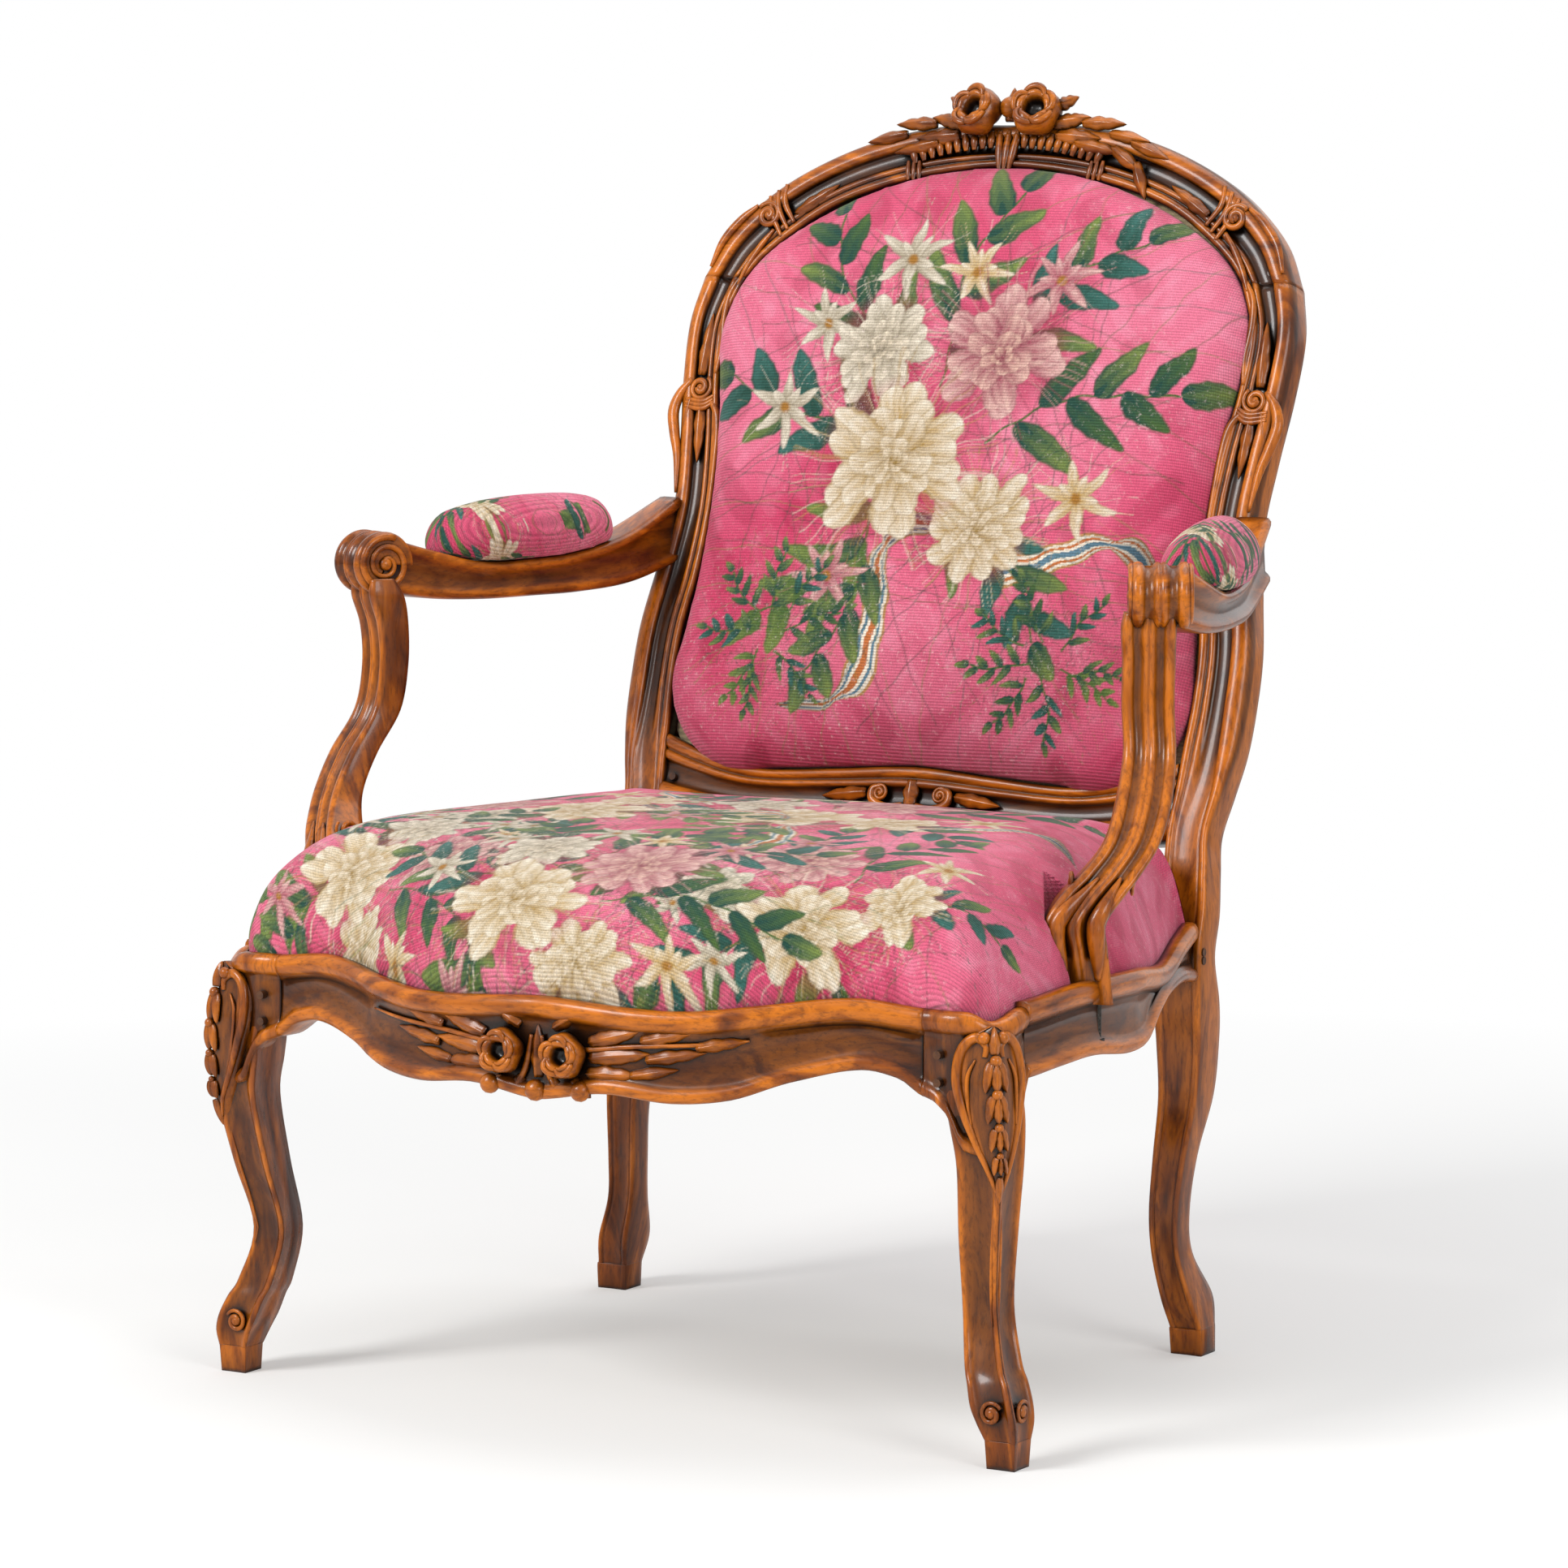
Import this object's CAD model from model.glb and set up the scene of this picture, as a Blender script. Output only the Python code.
import math
import bpy
import numpy as np
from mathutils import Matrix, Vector


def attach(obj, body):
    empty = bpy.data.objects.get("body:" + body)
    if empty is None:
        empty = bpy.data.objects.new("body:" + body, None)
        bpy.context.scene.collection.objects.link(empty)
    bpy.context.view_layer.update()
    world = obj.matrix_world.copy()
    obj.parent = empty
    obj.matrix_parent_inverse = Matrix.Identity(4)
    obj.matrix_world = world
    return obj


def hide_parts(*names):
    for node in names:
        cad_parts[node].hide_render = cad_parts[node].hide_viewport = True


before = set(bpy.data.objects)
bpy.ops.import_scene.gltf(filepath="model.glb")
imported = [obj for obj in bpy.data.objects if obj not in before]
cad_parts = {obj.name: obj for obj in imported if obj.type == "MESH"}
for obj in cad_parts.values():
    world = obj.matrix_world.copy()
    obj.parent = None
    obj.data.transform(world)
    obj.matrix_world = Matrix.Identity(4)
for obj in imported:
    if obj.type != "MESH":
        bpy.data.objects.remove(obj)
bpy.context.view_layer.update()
print("stage: frame loaded")

mm = 0.001


# colours and nodes
def fromHex(code):
    # sRGB hex to the linear values that the sockets take
    parts = [int(code[i:i + 2], 16) / 255 for i in (1, 3, 5)]
    return [p / 12.92 if p <= 0.04045 else ((p + 0.055) / 1.055) ** 2.4 for p in parts] + [1.0]


def addNode(tree, kind, settings=None, links=None):
    node = tree.nodes.new("ShaderNode" + kind)
    for key, value in (settings or {}).items():
        if key in node.inputs and not hasattr(node, key):
            node.inputs[key].default_value = value
        else:
            setattr(node, key, value)
    for socket, source in (links or {}).items():
        tree.links.new(source, node.inputs[socket])
    return node


def newMaterial(name):
    material = bpy.data.materials.new(name)
    material.use_nodes = True
    tree = material.node_tree
    tree.nodes.clear()
    output = addNode(tree, "OutputMaterial")
    return material, tree, output


def setSockets(node, values):
    for key, value in values.items():
        node.inputs[key].default_value = value


def ramp(tree, source, stops):
    node = addNode(tree, "ValToRGB", links={"Fac": source})
    elements = node.color_ramp.elements
    while len(elements) < len(stops):
        elements.new(0.5)
    for element, (place, code) in zip(elements, stops):
        element.position = place
        element.color = fromHex(code)
    return node.outputs["Color"]


def mix(tree, fac, first, second, blend="MIX"):
    node = addNode(tree, "Mix")
    node.data_type = "RGBA"
    node.blend_type = blend
    for socket, value in ((node.inputs[0], fac), (node.inputs[6], first), (node.inputs[7], second)):
        if isinstance(value, (int, float, list)):
            socket.default_value = value
        else:
            tree.links.new(value, socket)
    return node.outputs[2]


# shapes, all written in millimetres
def smoothRows(rows, steps):
    # a smooth run through rows of numbers
    rows = np.array(rows, float)
    count = len(rows)
    result = []
    for i in range(count - 1):
        a, b, c, d = rows[max(i - 1, 0)], rows[i], rows[i + 1], rows[min(i + 2, count - 1)]
        if i == 0:
            a = 2 * b - c
        if i == count - 2:
            d = 2 * c - b
        for s in range(steps):
            t = s / steps
            result.append(0.5 * (2 * b + (c - a) * t + (2 * a - 5 * b + 4 * c - d) * t * t
                                 + (3 * b - a - 3 * c + d) * t ** 3))
    result.append(rows[-1])
    return np.array(result)


def meshPiece(name, points, faces, material, shades=None):
    mesh = bpy.data.meshes.new(name)
    mesh.from_pydata([tuple(p * mm) for p in np.asarray(points, float)], [], faces)
    mesh.update()
    mesh.polygons.foreach_set("use_smooth", [True] * len(mesh.polygons))
    piece = bpy.data.objects.new(name, mesh)
    bpy.context.scene.collection.objects.link(piece)
    piece.data.materials.append(material)
    if shades is not None:
        layer = mesh.attributes.new("hollow", "FLOAT", "POINT")
        layer.data.foreach_set("value", np.asarray(shades, np.float32))
    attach(piece, "root")
    return piece


def woodPiece(prefix, name, part, material):
    points, faces, shades = part
    piece = meshPiece(prefix + name, points, faces, material, shades)
    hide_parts(name)


def woodPair(prefix, name, part, material):
    # the sitter's left piece and its mirror image
    woodPiece(prefix, name + "_left", part, material)
    woodPiece(prefix, name + "_right", mirrorPart(part), material)


def ringFaces(ringCount, size, capped=True):
    # quads between rings that follow one another, and a face at each end
    faces = []
    for i in range(ringCount - 1):
        a, b = i * size, (i + 1) * size
        for j in range(size):
            k = (j + 1) % size
            faces.append((a + j, a + k, b + k, b + j))
    if capped:
        faces.append(tuple(range(size))[::-1])
        faces.append(tuple((ringCount - 1) * size + j for j in range(size)))
    return faces


def ringPart(rings, shades):
    # points, faces and shades of a form built from rings
    rings = np.array(rings)
    return rings.reshape(-1, 3), ringFaces(*rings.shape[:2]), np.array(shades).reshape(-1)


def joinMeshes(parts):
    # parts: (points, faces, shades) put together as one mesh
    points, faces, shades, base = [], [], [], 0
    for p, f, s in parts:
        points.append(np.asarray(p, float))
        faces += [tuple(base + i for i in face) for face in f]
        shades.append(np.asarray(s, float))
        base += len(p)
    return np.concatenate(points), faces, np.concatenate(shades)


def mirrorPart(part):
    p, f, s = part
    q = np.array(p, float)
    q[:, 0] *= -1
    return q, [tuple(reversed(face)) for face in f], s


# Profiles of a member's face: (share across, depth into the wood)
backMoulding = np.array([
    (0, 5), (0.012, 2), (0.035, 0.7), (0.07, 0.1), (0.11, 0), (0.15, 0.5), (0.175, 1.6), (0.19, 2.9),
    (0.205, 2.4), (0.225, 1.5), (0.27, 1.1), (0.31, 1.6), (0.335, 3.0), (0.35, 4.2), (0.4, 4.9), (0.48, 5.3),
    (0.56, 5.1), (0.6, 4.6), (0.625, 3.8), (0.635, 2.2), (0.65, 1.4), (0.68, 0.5), (0.73, 0), (0.79, 0),
    (0.86, 0.5), (0.915, 1.5), (0.955, 2.8), (0.985, 4.8), (1, 8)])
legMoulding = np.array([
    (0, 3.2), (0.015, 1.6), (0.04, 0.5), (0.075, 0), (0.115, 0.1), (0.15, 0.7), (0.17, 1.7), (0.185, 2.4),
    (0.205, 2.0), (0.24, 2.0), (0.3, 2.4), (0.36, 2.7), (0.43, 2.9), (0.5, 3.0), (0.57, 2.9), (0.64, 2.7),
    (0.7, 2.4), (0.75, 2.1), (0.785, 2.0), (0.81, 2.4), (0.83, 1.7), (0.85, 0.7), (0.885, 0.1), (0.925, 0),
    (0.95, 0.3), (0.97, 0.9), (0.985, 1.6), (0.995, 2.6), (1, 3.4)])
supportMoulding = np.array([
    (0, 4), (0.015, 2.2), (0.045, 0.7), (0.09, 0.1), (0.14, 0.2), (0.185, 1.2), (0.21, 2.8), (0.24, 3.9),
    (0.3, 4.2), (0.35, 3.5), (0.385, 2.0), (0.41, 0.8), (0.44, 0.2), (0.47, 0.3), (0.49, 1.1), (0.51, 1.1),
    (0.53, 0.3), (0.56, 0.2), (0.59, 0.8), (0.615, 2.0), (0.65, 3.5), (0.7, 4.2), (0.76, 3.9), (0.79, 2.8),
    (0.815, 1.2), (0.86, 0.2), (0.91, 0.1), (0.955, 0.7), (1, 4)])


def hollowOf(depth):
    # how dark a groove looks at this depth
    return np.clip((depth - 1.2) / 4, 0, 1)


# sides and back of a member, as shares of its width and depth
memberSides = [(1, 0.45), (1, 0.8), (0.985, 0.95), (0.93, 1), (0.5, 1), (0.07, 1), (0.015, 0.95), (0, 0.8),
               (0, 0.45)]


def member(rows, profiles, steps=6):
    # rows: inner xyz, outer xyz, back xyz, depth factor, share of the second profile
    rings, shades = [], []
    for row in smoothRows(rows, steps):
        inner, outer, back, strength, blend = row[:3], row[3:6], row[6:9], row[9], min(max(row[10], 0), 1)
        profile = profiles[0] * (1 - blend) + profiles[-1] * blend
        inward = back / np.linalg.norm(back)
        ring = [inner + (outer - inner) * u + inward * d * strength for u, d in profile]
        ring += [inner + (outer - inner) * u + back * t for u, t in memberSides]
        rings.append(ring)
        shades.append(list(hollowOf(profile[:, 1] * strength)) + [0.25] * len(memberSides))
    return ringPart(rings, shades)


def tube(path, radii, sides=10, flat=1.0, normal=None, shade=0.0):
    # a bead along a path, thin where its radius is small, flattened along a normal
    path = np.array(path, float)
    radii = np.broadcast_to(np.array(radii, float), (len(path),))
    points = []
    along = np.gradient(path, axis=0)
    for i, p in enumerate(path):
        t = along[i] / (np.linalg.norm(along[i]) + 1e-9)
        n = np.array(normal if normal is not None else (0, 0, 1), float)
        n = n - t * np.dot(n, t)
        if np.linalg.norm(n) < 1e-6:
            n = np.cross(t, (1, 0, 0))
        n /= np.linalg.norm(n)
        b = np.cross(t, n)
        for k in range(sides):
            a = 2 * math.pi * k / sides
            points.append(p + radii[i] * (b * math.cos(a) + n * flat * math.sin(a)))
    return np.array(points), ringFaces(len(path), sides), np.full(len(points), shade)


def ball(centre, radius, flat=1.0, normal=(0, -1, 0), shade=0.0):
    n = np.array(normal, float)
    n /= np.linalg.norm(n)
    steps = np.linspace(-1, 1, 9)
    path = [np.array(centre, float) + n * radius * flat * math.sin(s * math.pi / 2) for s in steps]
    radii = [radius * math.cos(s * math.pi / 2) + 0.02 for s in steps]
    side = np.cross(n, (0.3, 0.2, 1))
    return tube(path, radii, 14, 1.0, side, shade)


def blade(root, tip, width, normal, lift=3.0, lobes=0, curl=0.0, shade=0.1):
    # a carved leaf: raised along its middle, pointed, its edge lobed
    root, tip, normal = (np.array(v, float) for v in (root, tip, normal))
    along = tip - root
    length = np.linalg.norm(along)
    normal = normal - along * np.dot(normal, along) / length ** 2
    normal /= np.linalg.norm(normal)
    across = np.cross(along / length, normal)
    rowsCount, cols = 15, 9
    points, shades = [], []
    for side in (1, -1):
        for i in range(rowsCount):
            t = i / (rowsCount - 1)
            half = width * 0.5 * (math.sin(math.pi * min(t * 0.9 + 0.1, 1) ** 0.8) ** 0.75 if t < 1 else 0.0)
            if lobes:
                half *= 0.82 + 0.18 * abs(math.cos(math.pi * lobes * t))
            for j in range(cols):
                u = 2 * j / (cols - 1) - 1
                rise = lift * (1 - 0.75 * u * u) * math.sin(math.pi * min(0.15 + 0.85 * t, 1)) ** 0.6
                midrib = 0.5 * lift * math.exp(-(u / 0.16) ** 2) * (1 - t)
                rise += midrib - 0.18 * lift * abs(math.sin(9 * t)) * abs(u)
                place = root + along * t + across * half * u
                height = rise + curl * t * t if side > 0 else -1.5 + curl * t * t
                points.append(place + normal * height)
                shades.append(shade + (0.35 * abs(u) if side > 0 else 0.15))
    faces = []
    size = rowsCount * cols
    for i in range(rowsCount - 1):
        for j in range(cols - 1):
            a = i * cols + j
            faces.append((a, a + 1, a + cols + 1, a + cols))
            faces.append((size + a, size + a + cols, size + a + cols + 1, size + a + 1))
    for i in range(rowsCount - 1):
        a, b = i * cols, i * cols + cols - 1
        faces.append((a, a + cols, size + a + cols, size + a))
        faces.append((b, size + b, size + b + cols, b + cols))
    for j in range(cols - 1):
        faces.append((j, size + j, size + j + 1, j + 1))
    return np.array(points), faces, np.array(shades)


def rose(centre, axis, radius, depth):
    # an open rose: overlapping petals round a deep heart
    axis = np.array(axis, float)
    axis /= np.linalg.norm(axis)
    side = np.cross(axis, (0, 0, 1))
    side /= np.linalg.norm(side)
    up = np.cross(side, axis)
    centre = np.array(centre, float)
    bowl = [(0.02, 0.35), (0.2, 0.3), (0.34, 0.45), (0.4, 0.8), (0.47, 0.98), (0.6, 1.02), (0.78, 0.9),
            (0.92, 0.66), (1.0, 0.36), (0.93, 0.05), (0.7, -0.12), (0.02, -0.15)]
    points, shades = [], []
    sides = 40
    for r, h in bowl:
        for k in range(sides):
            a = 2 * math.pi * k / sides
            swirl = 1 + 0.045 * math.cos(5 * a + 5 * r) * (r > 0.3)
            height = h + 0.05 * math.cos(5 * a + 1.3 + 6 * r) * (r > 0.4)
            ray = side * math.cos(a) + up * math.sin(a)
            points.append(centre + ray * r * radius * swirl + axis * height * depth)
            shades.append(1.0 if r < 0.36 else (0.1 if r < 0.95 else 0.5))
    parts = [(np.array(points), ringFaces(len(bowl), sides), np.array(shades))]
    for k in range(5):
        a = 2 * math.pi * k / 5 + 0.4
        sweep = np.linspace(-0.72, 0.72, 13)
        path = []
        for s in sweep:
            ray = side * math.cos(a + s) + up * math.sin(a + s)
            reach = 0.82 - 0.3 * (s / 0.72) ** 2 * (1 if s > 0 else 0.25)
            path.append(centre + ray * radius * reach + axis * depth * (0.86 + 0.12 * math.cos(s * 2)))
        parts.append(tube(path, 0.13 * radius * np.cos(sweep * 1.7) ** 0.5 + 0.2, 8, 1, axis, 0.15))
    return parts


def volute(centre, plane, normal, shape):
    # a bead wound inward in a plane given by two unit vectors, round a small eye
    first, second = (np.array(v, float) for v in plane)
    radius, count = shape["radius"], shape["count"]
    path = []
    for i in range(count):
        t = i / (count - 1)
        a = shape["start"] + shape["turns"] * 2 * math.pi * t
        r = radius * (1 - t) ** shape["grow"] + 0.16 * radius * t
        path.append(np.array(centre, float) + r * (first * math.cos(a) + second * math.sin(a)))
    bead = tube(path, np.linspace(*shape["bead"], count), shape["sides"], shape["flat"], normal,
                shape["shade"])
    return [bead, ball(centre, shape["eye"], shape["eyeFlat"], normal)]


# the chair's own measures
rake = math.radians(17.2)
rakeSin, rakeCos = math.sin(rake), math.cos(rake)
behind = np.array((0, rakeCos, -rakeSin)) * 30


def onBack(x, v, n=0.0):
    # a point on the back's face, v up the rake, n ahead of it
    return np.array((x, 176 + v * rakeSin - n * rakeCos, 400 + v * rakeCos + n * rakeSin))


faceNormal = onBack(0, 0, 1) - onBack(0, 0)
backUp = onBack(0, 1) - onBack(0, 0)


def sided(side, points):
    # the same places on the sitter's left (1) or right (-1)
    return [(side * x, v) for x, v in points]


def arcThrough(a, b, c, count):
    # points on the circle through three points of a plane
    (ax, ay), (bx, by), (cx, cy) = a, b, c
    d = 2 * (ax * (by - cy) + bx * (cy - ay) + cx * (ay - by))
    if abs(d) < 1e-6:
        return [np.array(a) + (np.array(c) - np.array(a)) * i / count for i in range(count)]
    sa, sb, sc = ax * ax + ay * ay, bx * bx + by * by, cx * cx + cy * cy
    ux = (sa * (by - cy) + sb * (cy - ay) + sc * (ay - by)) / d
    uy = (sa * (cx - bx) + sb * (ax - cx) + sc * (bx - ax)) / d
    radius = math.hypot(ax - ux, ay - uy)
    angles = [math.atan2(y - uy, x - ux) for x, y in (a, b, c)]
    full = 2 * math.pi
    toEnd, toMiddle = (angles[2] - angles[0]) % full, (angles[1] - angles[0]) % full
    if toMiddle > toEnd:
        toEnd -= full
    return [np.array((ux + radius * math.cos(angles[0] + toEnd * i / count),
                      uy + radius * math.sin(angles[0] + toEnd * i / count))) for i in range(count)]


def arcRun(points, count):
    run = []
    for i in range(0, len(points) - 2, 2):
        run += arcThrough(points[i], points[i + 1], points[i + 2], count)
    return np.array(run + [np.array(points[-1], float)])


seatHalf = [(0, -359), (86.8, -354), (167, -327.8), (223.8, -300.8), (280.6, -288), (324, -277), (334, -248),
            (338, -157), (328, -54), (299, 49), (272, 142.6)]
sightHalf = [(0, 37), (70, 32), (132, 28), (209, 45), (233, 105), (223, 231), (238, 370), (226, 426),
             (196, 461), (110, 507), (0, 525)]
seatRun = arcRun(seatHalf, 24)
sightRun = arcRun(sightHalf, 24)


def between(x, table):
    xs, ys = zip(*table)
    t = np.clip(x, xs[0], xs[-1])
    i = min(max(int(np.searchsorted(xs, t)) - 1, 0), len(xs) - 2)
    share = (t - xs[i]) / (xs[i + 1] - xs[i])
    before, after = ys[max(i - 1, 0)], ys[min(i + 2, len(ys) - 1)]
    a, b = ys[i], ys[i + 1]
    return 0.5 * (2 * a + (b - before) * share + (2 * before - 5 * a + 4 * b - after) * share ** 2
                  + (3 * a - before - 3 * b + after) * share ** 3)


frontLower = [(0, 246), (0.2, 254), (0.39, 250), (0.54, 254), (0.675, 267), (0.84, 277), (0.94, 272),
              (1, 261)]
frontUpper = [(0, 320), (0.39, 315), (0.62, 321), (0.82, 327), (1, 322)]
sideLower = [(0, 272), (0.12, 275), (0.25, 276), (0.42, 269), (0.54, 271), (0.62, 283), (0.72, 293),
             (0.87, 295), (1.03, 287)]
sideUpper = [(0, 326), (0.2, 330), (0.5, 326), (0.72, 318), (0.88, 329), (1.03, 336)]
apronFace = [(0.0, 3.2, 0), (1.5, 1.1, 0), (4, 0.0, 0), (7, 0.4, 0), (9.5, 2.0, 0), (11, 4.2, 0),
             (14, 5.0, 0), (0.32, 5.6, 1), (0.5, 6.2, 1), (0.68, 5.8, 1),
             (19, 5.0, 2), (16, 4.3, 2), (14.8, 2.6, 2), (12, 0.8, 2), (8, 0, 2), (4, 0.7, 2), (1.4, 2.4, 2),
             (0.2, 5, 2), (0, 8, 2)]


def apronSection(place, outward, low, high, field):
    # a rail's section at one place; field scales the depth of its hollow
    ring, shades = [], []
    for measure, depth, base in apronFace:
        z = low + measure if base == 0 else (low + (high - low) * measure if base == 1 else high - measure)
        if depth > 3.9 and base != 2:
            depth = 4.0 + (depth - 4.0) * field
        ring.append((place[0] - outward[0] * depth, place[1] - outward[1] * depth, z))
        shades.append(min(max((depth - 1.5) / 4, 0), 1) if base != 2 or measure > 10 else 0)
    for depth, z in ((12, high - 0.5), (12.2, 306.2), (30, 306), (30, low + 1), (26, low - 0.2),
                     (10, low - 0.6)):
        ring.append((place[0] - outward[0] * depth, place[1] - outward[1] * depth, z))
        shades.append(0.3)
    return ring, shades


def apron(places, lows, highs, field=1.0):
    rings, shades = [], []
    places = np.array(places)
    along = np.gradient(places, axis=0)
    for place, step, low, high in zip(places, along, lows, highs):
        step = step / np.linalg.norm(step)
        ring, shade = apronSection(place, (step[1], -step[0]), low, high, field)
        rings.append(ring)
        shades.append(shade)
    return ringPart(rings, shades)


# finishes
def finishMaterial(tree, output, shader, height, strength, distance):
    # a fine bump over the shape, then out to the surface
    bump = addNode(tree, "Bump", {"Strength": strength, "Distance": distance}, {"Height": height})
    tree.links.new(bump.outputs[0], shader.inputs["Normal"])
    tree.links.new(shader.outputs[0], output.inputs["Surface"])


def woodMaterial(name, light, mid, dark, recess, gloss, grain):
    material, tree, output = newMaterial(name)
    where = addNode(tree, "TexCoord").outputs["Object"]
    stretch = addNode(tree, "Mapping", {"Scale": grain}, {"Vector": where}).outputs[0]
    broad = addNode(tree, "TexNoise", {"Scale": 14.0, "Detail": 4.0, "Roughness": 0.55}, {"Vector": stretch})
    fine = addNode(tree, "TexNoise", {"Scale": 420.0, "Detail": 5.0, "Roughness": 0.65}, {"Vector": stretch})
    wander = addNode(tree, "TexNoise", {"Scale": 55.0, "Detail": 3.0, "Distortion": 1.2}, {"Vector": stretch})
    blendNoise = mix(tree, 0.45, broad.outputs["Fac"], wander.outputs["Fac"])
    base = ramp(tree, blendNoise, [(0.34, dark), (0.45, mid), (0.56, light), (0.7, mid)])
    pores = ramp(tree, fine.outputs["Fac"], [(0.36, "#8A8A8A"), (0.5, "#F4F4F4")])
    grained = mix(tree, 0.55, base, pores, "MULTIPLY")
    # grooves and close places go toward the recess colour
    hollow = addNode(tree, "Attribute", {"attribute_name": "hollow"})
    shade = addNode(tree, "AmbientOcclusion", {"samples": 6, "Distance": 0.02})
    closed = addNode(tree, "Math", {"operation": "SUBTRACT", "use_clamp": True}, {1: shade.outputs["AO"]})
    closed.inputs[0].default_value = 1.0
    deep = addNode(tree, "Math", {"operation": "MULTIPLY_ADD", "use_clamp": True},
                   {0: hollow.outputs["Fac"], 2: closed.outputs[0]})
    deep.inputs[1].default_value = 0.7
    coloured = mix(tree, deep.outputs[0], grained, fromHex(recess))
    shader = addNode(tree, "BsdfPrincipled")
    rough = addNode(tree, "MapRange", links={"Value": broad.outputs["Fac"]})
    setSockets(rough, {"From Min": 0.3, "From Max": 0.7, "To Min": gloss, "To Max": gloss + 0.14})
    tree.links.new(coloured, shader.inputs["Base Color"])
    tree.links.new(rough.outputs[0], shader.inputs["Roughness"])
    setSockets(shader, {"IOR": 1.5, "Coat Weight": 0.22, "Coat Roughness": 0.12, "Specular IOR Level": 0.24})
    finishMaterial(tree, output, shader, mix(tree, 0.5, fine.outputs["Fac"], wander.outputs["Fac"]), 0.22,
                   0.0006)
    return material


def clothMaterial(name, dyed, colours, ribs, wear):
    # a ribbed woven cloth; ribs is their pitch in metres
    material, tree, output = newMaterial(name)
    laid = addNode(tree, "Attribute", {"attribute_name": "laid"}).outputs["Vector"]
    where = addNode(tree, "TexCoord").outputs["Object"]
    along = laid if dyed else where
    pitch = 0.314 / ribs
    wave = addNode(tree, "TexWave", {"bands_direction": "Y", "Scale": pitch, "Distortion": 0.35,
                                     "Detail": 2.0, "Detail Scale": 3.0}, {"Vector": along})
    threads = addNode(tree, "TexWave", {"bands_direction": "X", "Scale": pitch * 1.7, "Distortion": 0.5},
                      {"Vector": along})
    spots = addNode(tree, "TexNoise", {"Scale": 900.0, "Detail": 3.0}, {"Vector": where})
    broad = addNode(tree, "TexNoise", {"Scale": 9.0, "Detail": 4.0}, {"Vector": where})
    if dyed:
        base = addNode(tree, "Attribute", {"attribute_name": "dye"}).outputs["Color"]
    else:
        base = ramp(tree, broad.outputs["Fac"], [(0.35, colours[0]), (0.65, colours[1])])
    ridges = ramp(tree, wave.outputs["Fac"], [(0.0, "#B4B4B4"), (0.55, "#FFFFFF")])
    ribbed = mix(tree, 0.5, base, ridges, "MULTIPLY")
    yarn = ramp(tree, threads.outputs["Fac"], [(0.1, "#808080"), (0.6, "#FFFFFF")])
    crossed = mix(tree, 0.22, ribbed, yarn, "MULTIPLY")
    flecks = addNode(tree, "TexNoise", {"Scale": 260.0, "Detail": 6.0, "Roughness": 0.75}, {"Vector": where})
    rubbed = ramp(tree, flecks.outputs["Fac"], [(0.56, "#000000"), (0.68, "#FFFFFF")])
    areas = ramp(tree, broad.outputs["Fac"], [(0.4, "#101010"), (0.66, "#FFFFFF")])
    patches = mix(tree, 1.0, rubbed, areas, "MULTIPLY")
    amount = addNode(tree, "Math", {"operation": "MULTIPLY"}, {0: patches})
    amount.inputs[1].default_value = wear
    worn = mix(tree, amount.outputs[0], crossed, fromHex(colours[2]))
    fuzz = ramp(tree, spots.outputs["Fac"], [(0.35, "#8C8C8C"), (0.62, "#FFFFFF")])
    speckled = mix(tree, 0.3, worn, fuzz, "MULTIPLY")
    shader = addNode(tree, "BsdfPrincipled")
    tree.links.new(speckled, shader.inputs["Base Color"])
    setSockets(shader, {"Roughness": 0.86, "Sheen Weight": 0.12, "Sheen Roughness": 0.5,
                        "Specular IOR Level": 0.25, "IOR": 1.45})
    height = mix(tree, 0.35, wave.outputs["Fac"], spots.outputs["Fac"])
    finishMaterial(tree, output, shader, height, 0.55, 0.0009)
    return material


def metalMaterial(name, light, dark, rough):
    material, tree, output = newMaterial(name)
    where = addNode(tree, "TexCoord").outputs["Object"]
    noise = addNode(tree, "TexNoise", {"Scale": 700.0, "Detail": 5.0}, {"Vector": where})
    shader = addNode(tree, "BsdfPrincipled")
    tree.links.new(ramp(tree, noise.outputs["Fac"], [(0.35, dark), (0.65, light)]),
                   shader.inputs["Base Color"])
    setSockets(shader, {"Metallic": 0.9, "Roughness": rough})
    finishMaterial(tree, output, shader, noise.outputs["Fac"], 0.4, 0.0003)
    return material


# waxed walnut: honey on the beads, dark red-brown in the hollows, its grain along each member
walnutTones = ("#CB6F0E", "#8C4402", "#461A01", "#0C0300", 0.24)
walnut = woodMaterial("waxed_walnut_upright", *walnutTones, (1.0, 1.0, 0.2))
walnutAcross = woodMaterial("waxed_walnut_across", *walnutTones, (0.2, 1.0, 1.0))
walnutDeep = woodMaterial("waxed_walnut_lengthwise", *walnutTones, (1.0, 0.2, 1.0))
# darker end grain of the oak pegs
pegWood = woodMaterial("oak_pegs", "#5A3416", "#43240E", "#2C1608", "#120803", 0.5, (1.0, 1.0, 1.0))
# raspberry tapestry with flowers, ribbed weave
tapestry = clothMaterial("wool_tapestry", True, ("#C93A6B", "#C93A6B", "#EBD9D2"), 0.0023, 0.5)
# plain woven cloth of the outside back
outsideCloth = clothMaterial("outside_back_cloth", False, ("#A62A58", "#B93A68", "#E3CFC8"), 0.0018, 0.12)
# jute webbing and the linen base cloth
juteWeb = clothMaterial("jute_webbing", False, ("#8A6B42", "#A5854F", "#C9B183"), 0.0035, 0.4)
baseLinen = clothMaterial("base_linen", False, ("#B9A27A", "#CBB68F", "#DDCDAA"), 0.0014, 0.3)
# blackened iron tacks and screws
iron = metalMaterial("blackened_iron", "#4A4642", "#26221F", 0.55)
print("stage: materials")

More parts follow.
